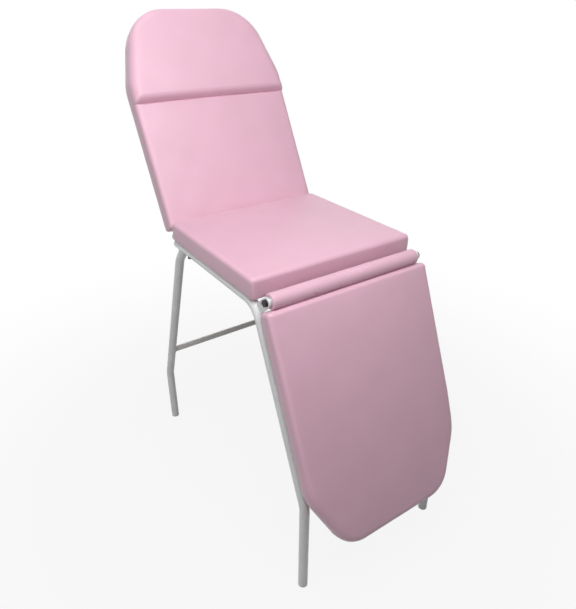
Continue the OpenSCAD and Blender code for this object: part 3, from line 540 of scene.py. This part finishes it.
class PadPlan:
    """A pad's outline: square hinge end, sides drawn in at the far end. near is the radius of
    its square corners, ease where the sides start to draw in, and end of the far corners."""

    def __init__(self, half, length, near, taper=0.0, angle=0.0, end=0.0, ease=0.0):
        self.half, self.length, self.near = half, length, near
        self.taper, self.angle, self.end, self.ease = taper, angle, end, ease
        self.square_ends = (0,) if taper else (0, length)
        if taper:
            self.turn_v = length - taper - ease * math.tan(angle / 2)
            self.arc_v = length - end * (1 - math.sin(angle))
            arc_w = half - (self.arc_v - (length - taper)) * math.tan(angle)
            self.middle = (arc_w - end * math.cos(angle), length - end)
        v = np.concatenate([self.rows(OUTLINE_STEP), [length]])
        side = np.column_stack([self.half_width(v), v])
        self.line = np.vstack([side, side[::-1] * (-1, 1), side[:1]])

    def corner(self, off):
        """How far a square corner draws the side in at a distance from its end."""
        dip = self.near - np.sqrt(np.maximum(0, self.near ** 2 - (self.near - off) ** 2))
        return np.where(off < self.near, dip, 0)

    def half_width(self, v):
        v = np.clip(np.asarray(v, float), 0, self.length)
        w = self.half - self.corner(v)
        if not self.taper:
            return w - self.corner(self.length - v)
        past = np.maximum(0, v - self.turn_v)
        eased = w - self.ease + np.sqrt(np.maximum(0, self.ease ** 2 - past ** 2))
        drawn = np.maximum(0, v - (self.length - self.taper))
        straight = w - drawn * math.tan(self.angle)
        slope = np.where(v > self.turn_v + self.ease * math.sin(self.angle), straight, eased)
        arc = self.middle[0] + np.sqrt(np.maximum(0, self.end ** 2 - (v - self.middle[1]) ** 2))
        return np.where(v > self.arc_v, arc, slope)

    def rows(self, step, extra=()):
        """Row places along v, close together at both ends and where extra asks."""
        far = END_ROWS
        if self.taper:
            far = self.end * (1 - np.cos(np.linspace(0, math.pi / 2, END_ARC_ROWS)))
        even = np.arange(FIRST_ROW, self.length, step)
        rows = np.concatenate([END_ROWS, self.length - far, even, extra])
        rows = np.sort(rows[(rows >= 0) & (rows <= self.length)])
        keep = [0]
        for i in range(1, len(rows)):
            if rows[i] - rows[keep[-1]] > LEAST_STEP:
                keep.append(i)
        return rows[keep]

    def edge_distance(self, x, v):
        """Distance from each point to the outline, worked out in batches."""
        batch = 4000
        p = np.column_stack([x, v])
        a, b = self.line[:-1], self.line[1:]
        ab = b - a
        size = np.maximum((ab ** 2).sum(1), 1e-12)
        out = np.empty(len(p))
        for start in range(0, len(p), batch):
            q = p[start:start + batch, None, :] - a[None]
            t = np.clip((q * ab).sum(2) / size, 0, 1)
            out[start:start + batch] = np.sqrt(((q - t[..., None] * ab) ** 2).sum(2)).min(1)
        return out


def pad_frame(name):
    """Place and outline of the seat, backrest or leg rest."""
    sizes = bpy.context.scene.couch_pads
    if name == "seat":
        place, far = PadPlace("seat_board", 0.0), ()
    elif name == "backrest":
        place = PadPlace("back_board", BACK_RISE)
        far = (sizes.back_taper_length, sizes.back_taper_angle, sizes.back_end_radius,
               sizes.side_radius)
    else:
        place = PadPlace("leg_board", LEG_DROP, hangs=True)
        far = (sizes.leg_taper_length, sizes.leg_taper_angle, sizes.leg_end_radius,
               sizes.side_radius)
    return place, PadPlan(place.half, place.length, sizes.corner_radius, *far)


def pad_crown(plan, x, v, rise):
    """Rise of the pad's face over its plan, highest in the middle."""
    across = np.clip(np.abs(x) / plan.half, 0, 1)
    along = np.clip(np.abs(v - plan.length / 2) / (plan.length / 2), 0, 1)
    return rise * (1 - across ** 2) * (1 - along ** 4)


def slack(x, v):
    """Faint unevenness of stretched vinyl over foam, as waves with no common length."""
    return SLACK_DEPTH * (0.5 * np.sin(x * 31 + v * 17 + 1.3) * np.sin(v * 23 - x * 9)
                          + 0.3 * np.sin(x * 67 - v * 41 + 0.7) + 0.2 * np.sin(v * 89 + x * 53))


def pad_face(plan, thickness, radius, crease, close_rows):
    """Points and faces of a pad's crowned face, and the numbers of the points on its rim."""
    sizes = bpy.context.scene.couch_pads
    rows = plan.rows(ROW_STEP, close_rows)
    points = []
    for v in rows:
        w = float(plan.half_width(v))
        near = SIDE_ROWS * min(1, w / NARROW)
        right = np.concatenate([w - near, np.linspace(w - near[-1], 0, HALF_COLUMNS + 1)[1:]])
        points.append(np.concatenate([-right, right[::-1][1:]]))
    x, v = np.concatenate(points), np.repeat(rows, len(points[0]))
    grid = np.arange(len(x)).reshape(len(rows), -1)
    loop = np.concatenate([grid[0], grid[1:, -1], grid[-1, -2::-1], grid[-2:0:-1, 0]])
    away = plan.edge_distance(x, v)
    away[loop] = 0
    r = radius(v)
    h = thickness(v) - r + np.sqrt(np.maximum(0, r * r - (r - np.minimum(away, r)) ** 2))
    h = h + pad_crown(plan, x, v, sizes.crown) * smooth_step(away / CROWN_REACH)
    h = h + crease(v, away) + slack(x, v) * smooth_step(away / SLACK_REACH)
    for end in plan.square_ends:
        off = np.hypot(plan.half - np.abs(x), v - end)
        h = h + sizes.corner_seam * np.exp(-(off / SEAM_REACH) ** 2)
    faces = [face for a, b in zip(grid, grid[1:]) for face in band(a, b, closed=False)]
    return np.column_stack([x, v, h]), faces, loop


def rim_gathers(rim, outward, length):
    """Waves of -1 to 1 where a rim goes round an end, 0 on its straights and square corners."""
    bend = np.linalg.norm(np.roll(outward, -1, 0) - np.roll(outward, 1, 0), axis=1)
    bend = bend / np.maximum(length, 1e-6)
    even = np.convolve(np.concatenate([bend[-3:], bend, bend[:3]]), np.ones(7) / 7, "valid")
    share = smooth_step((even - GATHER_BEND) / (FULL_BEND - GATHER_BEND)) * (bend < SQUARE_BEND)
    travel = np.cumsum(np.linalg.norm(rim - np.roll(rim, 1, 0), axis=1))
    return share * np.sin(travel * TURN / GATHER_PITCH)


def corner_seams(plan, rim):
    """1 along the middle of each square corner, falling to 0 on both sides of it."""
    share = np.zeros(len(rim))
    for end in plan.square_ends:
        across = np.abs(rim[:, 0]) - (plan.half - plan.near)
        along = plan.near - np.abs(rim[:, 1] - end)
        off = (np.arctan2(along, across) - math.pi / 4) * plan.near
        share += np.exp(-(off / SEAM_WIDTH) ** 2) * (across > 0) * (along > 0)
    return share


def upholstered_pad(name, place, plan, thickness, radius,
                    crease=lambda v, away: 0.0, close_rows=()):
    """A closed cushion skin: crowned face, rounded edge, side wall, turned-in lower edge and
    a flat underside on the board. thickness and radius are functions of v."""
    sizes = bpy.context.scene.couch_pads
    skin, faces, loop = pad_face(plan, thickness, radius, crease, close_rows)
    rim, rim_height = skin[loop, :2], skin[loop, 2]
    along = np.roll(rim, -1, 0) - np.roll(rim, 1, 0)
    length = np.linalg.norm(along, axis=1)
    outward = np.column_stack([along[:, 1], -along[:, 0]]) / length[:, None]
    gathers, seams = rim_gathers(rim, outward, length), corner_seams(plan, rim)
    layers, rings = [skin], [loop]

    def add_ring(heights, inset):
        seam_rise = sizes.corner_seam * seams * (inset < COVER_OVERHANG)
        flat = rim - outward * (inset - seam_rise)[:, None]
        deep = np.max(inset)
        if deep > plan.near:
            # past the corner radius the turned-in cover meets in a square corner
            flat[:, 0] = np.clip(flat[:, 0], deep - plan.half, plan.half - deep)
            flat[:, 1] = np.clip(flat[:, 1], deep, plan.length - deep)
        first = sum(len(layer) for layer in layers)
        layers.append(np.column_stack([flat, heights]))
        rings.append(np.arange(first, first + len(rim)))

    for share in WALL_SHARES:
        belly = WALL_BELLY * math.sin(math.pi * share)
        add_ring(rim_height * share,
                 -belly + WALL_LEAN * (1 - share) + GATHER_DEPTH * gathers * (1 - share))
    thin, under = sizes.cover_thickness, sizes.cover_turn
    board = COVER_OVERHANG - 0.0002  # just outside the board's edge
    # height, inset and gathers of the wall's foot, the turned-in cover and the board's edge
    for height, inset, share in ((0.0016, WALL_LEAN, 1), (0.0004, 0.0018, 1),
                                 (-thin, 0.0034, 0), (-thin, under, 0),
                                 (0.0, under + 0.0004, 0), (0.0001, board, 0),
                                 (place.base, board, 0)):
        add_ring(np.full(len(rim), height), inset + share * FOOT_GATHER_DEPTH * gathers)
    for a, b in zip(rings, rings[1:]):
        faces += band(a, b)
    faces.append(tuple(int(i) for i in rings[-1]))
    piece = new_piece(name, place.world(np.vstack(layers)), faces, upholstery_vinyl())
    piece.data.polygons[-1].use_smooth = False
    return piece


def finish_pad(piece, body, fill, *nodes):
    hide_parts(*nodes)
    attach(piece, body)


class COUCH_OT_seat_pad(bpy.types.Operator):
    """Box seat pad: tight vinyl over foam on its board"""
    bl_idname = "couch.seat_pad"
    bl_label = "Seat pad"

    def execute(self, context):
        sizes = context.scene.couch_pads
        place, plan = pad_frame("seat")
        top = place.top("seat_cushion") - sizes.crown
        piece = upholstered_pad("seat_upholstery", place, plan,
                                lambda v: top, lambda v: sizes.edge_radius)
        finish_pad(piece, "frame", PAD_FILL, "seat_cushion", "seat_cover_wrap")
        return {"FINISHED"}


class COUCH_OT_backrest_pad(bpy.types.Operator):
    """Backrest pad in one skin, with the thicker headrest rolled under at its seam"""
    bl_idname = "couch.backrest_pad"
    bl_label = "Backrest pad"

    def execute(self, context):
        sizes = context.scene.couch_pads
        place, plan = pad_frame("backrest")
        low, high = sizes.lower_thickness, place.top("headrest_cushion") - sizes.crown
        start, roll, edge = sizes.headrest_start, sizes.headrest_edge_radius, sizes.edge_radius

        def thickness(v):
            t = np.clip((v - start) / roll, 0, 1)
            return low + (high - low) * np.sqrt(np.maximum(0, 1 - (1 - t) ** 2))

        def radius(v):
            return edge + (roll - edge) * smooth_step((v - start + ROLL_LEAD) / ROLL_BLEND)

        def crease(v, away):
            reach = smooth_step((away - CREASE_START) / CREASE_FADE)
            below = np.exp(-((v - start) / CREASE_BELOW) ** 2)
            above = np.exp(-((v - start) / CREASE_ABOVE) ** 2)
            return -sizes.crease_depth * reach * np.where(v < start, below, above)

        close_rows = np.concatenate([[start], start + CREASE_ROWS, start - CREASE_ROWS])
        piece = upholstered_pad("backrest_upholstery", place, plan, thickness, radius,
                                crease, close_rows)
        finish_pad(piece, "backrest", PAD_FILL,
                   "back_cushion", "headrest_cushion", "back_cover_wrap")
        return {"FINISHED"}


class COUCH_OT_leg_rest_pad(bpy.types.Operator):
    """Leg rest pad with its drawn in, rounded lower end"""
    bl_idname = "couch.leg_rest_pad"
    bl_label = "Leg rest pad"

    def execute(self, context):
        sizes = context.scene.couch_pads
        place, plan = pad_frame("leg_rest")
        top = place.top("leg_cushion") - sizes.crown

        def radius(v):
            taper = v - plan.length + sizes.leg_taper_length
            soft = smooth_step((taper + SOFT_LEAD) / SOFT_BLEND)
            return sizes.edge_radius + (sizes.leg_end_softness - sizes.edge_radius) * soft

        piece = upholstered_pad("leg_rest_upholstery", place, plan, lambda v: top, radius)
        finish_pad(piece, "leg_rest", PAD_FILL, "leg_cushion", "leg_cover_wrap")
        return {"FINISHED"}


# Knee roller

ROLLER_ROWS, ROLLER_SIDES, ROLLER_END_ROWS = 330, 96, 7
ROW_GAP = 0.003  # from the rounded end to the next row
GATHER_COUNT, END_GATHER_DEPTH = 18, 0.0003
GATHER_LENGTH, GATHER_FADE = 0.012, 0.010  # from the roller's end, and on to full depth
SLEEVE_SEAM, SLEEVE_SEAM_DEPTH, SLEEVE_SEAM_WIDTH = math.radians(300), 0.0009, 0.035
WRINKLE_RADIUS = 0.0195  # turns angles round the sleeve into lengths

# the sleeve's slack creases: place along it, degrees round it, slant, half length, half width
# and depth share
WRINKLES = (
    (0.002, 104, 0.9, 0.011, 0.0026, 0.9), (0.014, 98, 0.6, 0.010, 0.0023, 0.7),
    (0.026, 110, 1.2, 0.012, 0.0029, 1.0), (0.040, 101, 0.8, 0.010, 0.0024, 0.8),
    (0.053, 107, 1.0, 0.012, 0.0027, 0.9), (-0.012, 102, 1.1, 0.009, 0.0023, 0.6),
    (0.067, 104, 0.7, 0.009, 0.0023, 0.6), (-0.030, 215, 1.0, 0.012, 0.0022, 0.7),
    (0.090, 230, 0.8, 0.012, 0.0022, 0.6), (-0.105, 200, 1.1, 0.012, 0.0022, 0.6),
)


def wrinkle_share(x, a):
    """Depth share of the slack creases at a place along the roller and an angle round it."""
    depth = 0.0
    for along, degrees, slant, length, width, share in WRINKLES:
        arc = ((a - math.radians(degrees) + math.pi) % TURN - math.pi) * WRINKLE_RADIUS
        off, turn = x - along, math.atan(slant)
        across = off * math.cos(turn) - arc * math.sin(turn)
        down = off * math.sin(turn) + arc * math.cos(turn)
        depth += share * math.exp(-(across / width) ** 2 - (down / length) ** 2)
    return depth


class COUCH_OT_knee_roller(bpy.types.Operator):
    """Padded roller sleeve with slack wrinkles at mid length and gathered ends"""
    bl_idname = "couch.knee_roller"
    bl_label = "Knee roller"

    def execute(self, context):
        sizes = context.scene.couch_roller
        low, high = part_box("knee_roller_cover")
        tube_low, tube_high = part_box("leg_core_tube")
        centre, end = (low + high) / 2, sizes.end_radius
        half, outer = (high.x - low.x) / 2, (high.z - low.z) / 2
        bore = (tube_high.z - tube_low.z) / 2 + TOUCH
        profile = [(half, bore), (half, bore + (outer - end - bore) / 2)]
        profile += [(half - end + end * math.cos(a), outer - end + end * math.sin(a))
                    for a in np.linspace(0, math.pi / 2, ROLLER_END_ROWS)]
        last = half - end - ROW_GAP
        body = [(x, outer) for x in np.linspace(last, -last, ROLLER_ROWS)]
        rows = profile + body + [(-x, r) for x, r in profile[::-1]]
        points = []
        for x, r in rows:
            near_end = float(smooth_step((abs(x) - (half - GATHER_LENGTH)) / GATHER_FADE))
            for k in range(ROLLER_SIDES):
                a = TURN * k / ROLLER_SIDES
                reach = r
                if r > outer - TOUCH:
                    reach -= sizes.wrinkle_depth * wrinkle_share(x, a)
                    reach -= SLEEVE_SEAM_DEPTH * math.exp(
                        -((a - SLEEVE_SEAM) / SLEEVE_SEAM_WIDTH) ** 2)
                if r > bore + TOUCH:
                    reach -= END_GATHER_DEPTH * math.sin(a * GATHER_COUNT) * near_end
                points.append((x, centre.y + reach * math.cos(a), centre.z + reach * math.sin(a)))
        piece = new_piece("knee_roller_upholstery", points,
                          tube_faces(len(rows), ROLLER_SIDES, closed=True), upholstery_vinyl())
        finish_pad(piece, "leg_rest", ROLLER_FILL, "knee_roller_cover")
        return {"FINISHED"}


# Staples

STAPLE_START, STAPLE_PITCH, STAPLE_INSET = 0.02, 0.042, 0.012
STAPLE_HALF, STAPLE_WIRE, STAPLE_SIDES = 0.005, 0.00035, 5
STAPLE_STAND, STAPLE_DEPTH = 0.0004, 0.001  # off the cover, and into the board
STAPLE_TILT = 0.3  # radians from the line of the edge
RAIL_STRIP = 0.034  # along the seat's sides, over the rails
ARM_STRIP, ARM_REACH = (0.150, 0.215), 0.45  # across and along a pad, under its arms


def bent_wire(points, radius, sides):
    """A closed thin rod along points."""
    points = [Vector(p) for p in points]
    verts = []
    for i, p in enumerate(points):
        ahead = (points[min(i + 1, len(points) - 1)] - points[max(i - 1, 0)]).normalized()
        side = ahead.orthogonal().normalized()
        verts += circle(p, side, ahead.cross(side), radius, sides)
    return verts, tube_faces(len(points), sides, closed=False)


class COUCH_OT_cover_staples(bpy.types.Operator):
    """Wire staples that hold the turned-in covers under the boards"""
    bl_idname = "couch.cover_staples"
    bl_label = "Cover staples"

    def execute(self, context):
        thin = context.scene.couch_pads.cover_thickness
        for pad, body in (("seat", "frame"), ("backrest", "backrest"), ("leg_rest", "leg_rest")):
            place, plan = pad_frame(pad)
            steps = np.linalg.norm(np.diff(plan.line, axis=0), axis=1)
            travel = np.concatenate([[0], np.cumsum(steps)])
            staples = []
            for s in np.arange(STAPLE_START, travel[-1], STAPLE_PITCH):
                i = min(int(np.searchsorted(travel, s)) - 1, len(steps) - 1)
                along = (plan.line[i + 1] - plan.line[i]) / max(steps[i], 1e-9)
                inward = np.array([-along[1], along[0]])
                spot = plan.line[i] + along * (s - travel[i])
                if inward @ (np.array([0, plan.length / 2]) - spot) < 0:
                    inward = -inward
                middle = spot + inward * STAPLE_INSET
                if self.is_covered(pad, plan, middle):
                    continue
                lean = math.copysign(1, math.sin(s * 37))  # either way, with no pattern
                tilt = along * math.cos(STAPLE_TILT) + inward * math.sin(STAPLE_TILT) * lean
                a, b = middle - tilt * STAPLE_HALF, middle + tilt * STAPLE_HALF
                out = -thin - STAPLE_STAND
                path = [(*a, STAPLE_DEPTH), (*a, out), (*b, out), (*b, STAPLE_DEPTH)]
                staples.append(bent_wire(place.world(path), STAPLE_WIRE, STAPLE_SIDES))
            piece = new_piece(pad + "_staples", *joined(staples), zinc_plate(), smooth=False)
            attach(piece, body)
        return {"FINISHED"}

    def is_covered(self, pad, plan, spot):
        """Whether a rail or an arm leaves no room for a staple."""
        over_rail = pad == "seat" and abs(spot[0]) > plan.half - RAIL_STRIP
        return over_rail or (ARM_STRIP[0] < abs(spot[0]) < ARM_STRIP[1] and spot[1] < ARM_REACH)


# Welds

BEAD_SIDES, RINGS_PER_RIPPLE = 8, 3
LEAST_LOOP, LEAST_LINE = 24, 6  # fewest rings of a closed and of an open bead
# a bead's mean radius, its ripples and a slow drift, as shares of the full radius
BEAD_MEAN, RIPPLE, DRIFT = 0.92, 0.12, 0.05
DRIFT_LENGTH = TURN / 310
PLATE_BEAD = 0.8  # share of the full radius along plates
COPED = 0.9  # a leg's points less than this share of a rail's radius under its middle are coped
WIDEST = 0.995  # share of a rail's radius that a tube's end may reach above or below its middle
BEAD_LIFT, FACE_LIFT = 0.0004, 0.0005  # from a plate's edge and face to its bead's middle
TAB_NEAR, TAB_FACE = 0.0006, 1e-5  # how close a tab's points count as on its bend and face
TAB_STOP, LEAST_TURN = 0.01, 0.05  # radians free at both ends of a tab's foot, and its least
PLATE_GROOVE = 0.0062  # from a rail's middle up and down to its plate's beads
PLATE_STOPS = (0.003, 0.002)  # left free at the ends of a hinge plate
LOOP_ANGLES = np.linspace(0, TURN, 60, endpoint=False)


class RailPlace:
    """Tube radius, middle line and ends of the right seat rail, read from its box."""

    def __init__(self):
        low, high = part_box("seat_rail_right")
        self.radius = (high.x - low.x) / 2
        self.x, self.z = (high.x + low.x) / 2, (high.z + low.z) / 2
        self.front, self.rear = low.y, high.y


def bead_along(line, radius, spacing, closed):
    """A weld bead with its ripples along a line of points, closed to a loop or with two ends."""
    line = np.asarray(line, float)
    if closed:
        line = np.vstack([line, line[:1]])
    travel = np.concatenate([[0], np.cumsum(np.linalg.norm(np.diff(line, axis=0), axis=1))])
    least = LEAST_LOOP if closed else LEAST_LINE
    count = max(least, int(travel[-1] / (spacing / RINGS_PER_RIPPLE)))
    s = np.linspace(0, travel[-1], count, endpoint=not closed)
    path = np.column_stack([np.interp(s, travel, line[:, k]) for k in range(3)])
    # any place off a straight bead's line serves to turn its rings alike
    centre = path.mean(0) if closed else path.mean(0) + (0.1, 0.02, 0.03)
    verts = []
    for i in range(count):
        if closed:
            after, before = (i + 1) % count, i - 1
        else:
            after, before = min(i + 1, count - 1), max(i - 1, 0)
        ahead = Vector(path[after] - path[before]).normalized()
        side = Vector(path[i] - centre)
        side = (side - ahead * side.dot(ahead)).normalized()
        r = radius * (BEAD_MEAN + RIPPLE * math.sin(TURN * s[i] / spacing)
                      + DRIFT * math.sin(TURN * s[i] / DRIFT_LENGTH))
        verts += circle(Vector(path[i]), side, ahead.cross(side), r, BEAD_SIDES)
    return verts, tube_faces(count, BEAD_SIDES, closed)


def leg_top_loops(rail, lean):
    """Loops round the rear leg tops, which are coped under the rails."""
    points = node_points("rear_leg_right")
    top = points[points[:, 2] > rail.z - rail.radius * COPED]
    middle, height = ((top[:, k].min() + top[:, k].max()) / 2 for k in (1, 2))
    root = np.array([0, middle - (rail.z - height) * math.tan(lean), rail.z])
    down = np.array([0, math.sin(lean), -math.cos(lean)])
    across = np.array([0, math.cos(lean), math.sin(lean)])
    for side in (-1, 1):
        loop = []
        for t in LOOP_ANGLES:
            spot = root + across * (rail.radius * math.sin(t))
            drop = spot[2] - (rail.z - rail.radius * abs(math.sin(t)))
            spot = spot + down * (drop / math.cos(lean))
            loop.append((side * (rail.x + rail.radius * math.cos(t)), spot[1], spot[2]))
        yield loop


def tube_end_loops(rail, node, lean=None):
    """Loops round both ends of a tube between the rails, or between legs with a lean."""
    low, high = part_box(node)
    r, y, z = (high.z - low.z) / 2, (low.y + high.y) / 2, (low.z + high.z) / 2
    widest = rail.radius * WIDEST
    for side in (-1, 1):
        loop = []
        for t in LOOP_ANGLES:
            dy, dz = r * math.cos(t), r * math.sin(t)
            off = z + dz - rail.z if lean is None else dy * math.cos(lean) + dz * math.sin(lean)
            off = max(-widest, min(widest, off))
            reach = rail.x - math.sqrt(rail.radius ** 2 - off * off)
            loop.append((side * reach, y + dy, z + dz))
        yield loop


def tab_lines(rail, bend_radius):
    """Lines along both faces of each roller tab, where it stands on its front bend."""
    y, z = rail.front - rail.radius, rail.z - bend_radius
    for node in ("leg_hinge_plate_left", "leg_hinge_plate_right"):
        points = node_points(node)
        low, high = points[:, 0].min(), points[:, 0].max()
        foot = bend_radius + math.sqrt(rail.radius ** 2 - ((high - low) / 2) ** 2)
        on_bend = np.abs(np.hypot(points[:, 1] - y, points[:, 2] - z) - foot) < TAB_NEAR
        for face in (low, high):
            seat = points[on_bend & (np.abs(points[:, 0] - face) < TAB_FACE)]
            turn = np.arctan2(seat[:, 2] - z, seat[:, 1] - y)
            if len(seat) < 2 or np.ptp(turn) < LEAST_TURN:
                raise RuntimeError(f"{node} has no foot on its bend")
            x = face + math.copysign(FACE_LIFT, face - (low + high) / 2)
            reach = foot + BEAD_LIFT
            yield [(x, y + reach * math.cos(t), z + reach * math.sin(t))
                   for t in np.linspace(min(turn) + TAB_STOP, max(turn) - TAB_STOP, 12)]


def hinge_plate_lines(rail):
    """Lines above and below the one along which each backrest hinge plate touches its rail."""
    for node in ("back_hinge_plate_left", "back_hinge_plate_right"):
        low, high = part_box(node)
        touch = high.x if high.x > 0 else low.x
        x = math.copysign(abs(touch) + BEAD_LIFT, touch)
        for z in (rail.z - PLATE_GROOVE, rail.z + PLATE_GROOVE):
            yield [(x, low.y + PLATE_STOPS[0], z), (x, rail.rear - PLATE_STOPS[1], z)]


class COUCH_OT_weld_beads(bpy.types.Operator):
    """Weld beads where the frame's tubes and plates meet, under the same enamel"""
    bl_idname = "couch.weld_beads"
    bl_label = "Weld beads"

    def execute(self, context):
        sizes = context.scene.couch_welds
        rail = RailPlace()
        loops = [*leg_top_loops(rail, sizes.rear_leg_lean + sizes.rear_top_lean),
                 *tube_end_loops(rail, "rear_stretcher", sizes.rear_leg_lean),
                 *tube_end_loops(rail, "seat_cross_tube_front"),
                 *tube_end_loops(rail, "seat_cross_tube_rear")]
        lines = [*tab_lines(rail, sizes.front_bend_radius), *hinge_plate_lines(rail)]
        radius, spacing = sizes.bead_radius, sizes.ripple_spacing
        beads = [bead_along(loop, radius, spacing, closed=True) for loop in loops]
        beads += [bead_along(line, radius * PLATE_BEAD, spacing, closed=False) for line in lines]
        piece = new_piece("frame_weld_beads", *joined(beads), frame_enamel())
        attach(piece, "frame")
        return {"FINISHED"}


class COUCH_OT_frame_finish(bpy.types.Operator):
    """Procedural finishes on the frame, boards, hinges and fasteners"""
    bl_idname = "couch.frame_finish"
    bl_label = "Frame finish"

    def execute(self, context):
        made = {
            "vinyl": upholstery_vinyl(),
            "enamel": frame_enamel(),
            "zinc": zinc_plate(),
            "black_bolt": black_oxide(),
            "cap_plastic": moulded_polythene(),
            "plywood": birch_plywood(),
        }
        slots = {s["node"]: s["material_slot"] for s in frame["record"]["subparts"]}
        for node, piece in frame["nodes"].items():
            for holder in piece.material_slots:
                holder.material = made[slots[node]]
        return {"FINISHED"}


# Stage

FLOOR_HALF = 9.0
LAMP_SIZE = 1.2
SENSOR_WIDTH = 36.0  # mm

# where each lamp stands and the point that it faces; StageSizes has their powers
LAMPS = {
    "front": ((-0.3, -0.72, 2.02), (0.0, 0.1, 0.9)),
    "top": ((-0.4, 0.4, 2.5), (0.0, 0.0, 0.8)),
    "side": ((-2.2, -0.35, 0.9), (0.0, 0.1, 0.5)),
    "corner": ((-1.5, -0.6, 2.3), (0.0, 0.0, 0.8)),
    "rear": ((0.7, 2.5, 1.5), (0.0, 0.0, 0.7)),
}


class COUCH_OT_stage(bpy.types.Operator):
    """Pale floor, soft lamps, white surroundings and the camera at the photo's view"""
    bl_idname = "couch.stage"
    bl_label = "Stage"

    def execute(self, context):
        stage = context.scene.couch_stage
        self.floor()
        self.surroundings(stage)
        self.lamps(stage)
        self.camera(stage)
        context.scene.view_settings.view_transform = "Standard"
        return {"FINISHED"}

    def floor(self):
        corners = [(x * FLOOR_HALF, y * FLOOR_HALF, 0)
                   for x, y in ((-1, -1), (1, -1), (1, 1), (-1, 1))]
        floor = new_piece("floor", corners, [(0, 1, 2, 3)], studio_floor(), smooth=False)
        floor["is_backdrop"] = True

    def surroundings(self, stage):
        """White to what is seen directly, and an even faint light to everything else."""
        world = bpy.data.worlds.new("studio")
        bpy.context.scene.world = world
        world.use_nodes = True
        tree = world.node_tree
        tree.nodes.clear()
        even, white = (add_node(tree, "ShaderNodeBackground", Color=linear("#ffffff"),
                                Strength=strength).outputs[0] for strength in (stage.sky, 1.0))
        mix = add_node(tree, "ShaderNodeMixShader",
                       [("Fac", seen_directly(tree)), (1, even), (2, white)])
        add_node(tree, "ShaderNodeOutputWorld", [("Surface", mix.outputs[0])])

    def lamps(self, stage):
        for name, (place, aim) in LAMPS.items():
            data = bpy.data.lights.new(name + "_softbox", "AREA")
            data.shape = "SQUARE"
            data.size = LAMP_SIZE
            data.energy = getattr(stage, name + "_power")
            lamp = new_object(data)
            lamp.location = place
            facing = (Vector(aim) - Vector(place)).to_track_quat("-Z", "Y")
            lamp.rotation_euler = facing.to_euler()

    def camera(self, stage):
        data = bpy.data.cameras.new("photo_camera")
        camera = new_object(data)
        bpy.context.scene.camera = camera
        data.sensor_width = SENSOR_WIDTH
        data.lens = stage.lens
        data.shift_x = stage.shift
        turn = (Matrix.Rotation(-stage.yaw, 4, "Z")
                @ Matrix.Rotation(math.pi / 2 - stage.pitch, 4, "X")
                @ Matrix.Rotation(stage.roll, 4, "Z"))
        camera.matrix_world = Matrix.Translation(stage.place) @ turn


# Panel and registration

OPERATORS = (
    COUCH_OT_seat_pad, COUCH_OT_backrest_pad, COUCH_OT_leg_rest_pad, COUCH_OT_knee_roller,
    COUCH_OT_cover_staples, COUCH_OT_weld_beads, COUCH_OT_frame_finish, COUCH_OT_stage,
)
GROUPS = {
    "couch_pads": PadSizes, "couch_roller": RollerSizes, "couch_welds": WeldSizes,
    "couch_finishes": Finishes, "couch_stage": StageSizes,
}


class COUCH_PT_panel(bpy.types.Panel):
    """Sizes, colours and steps of the couch"""
    bl_idname = "COUCH_PT_panel"
    bl_label = "Treatment couch"
    bl_space_type = "VIEW_3D"
    bl_region_type = "UI"
    bl_category = "Couch"

    def draw(self, context):
        for operator in OPERATORS:
            self.layout.operator(operator.bl_idname)
        for name, group in GROUPS.items():
            box = self.layout.box()
            box.label(text=group.__name__)
            for prop in group.__annotations__:
                box.prop(getattr(context.scene, name), prop)


CLASSES = (*GROUPS.values(), *OPERATORS, COUCH_PT_panel)


def register():
    for kind in CLASSES:
        bpy.utils.register_class(kind)
    for name, group in GROUPS.items():
        setattr(bpy.types.Scene, name, bpy.props.PointerProperty(type=group))


def unregister():
    for name in GROUPS:
        delattr(bpy.types.Scene, name)
    for kind in reversed(CLASSES):
        bpy.utils.unregister_class(kind)


def main():
    register()
    bpy.ops.couch.frame_finish()
    bpy.ops.couch.seat_pad()
    bpy.ops.couch.backrest_pad()
    bpy.ops.couch.leg_rest_pad()
    bpy.ops.couch.knee_roller()
    bpy.ops.couch.cover_staples()
    bpy.ops.couch.weld_beads()
    bpy.ops.couch.stage()
    boxes = {"cad": CAD_BOX, "visual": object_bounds()}
    {name: [list(corner) for corner in box] for name, box in boxes.items()}


if __name__ == "__main__":
    main()
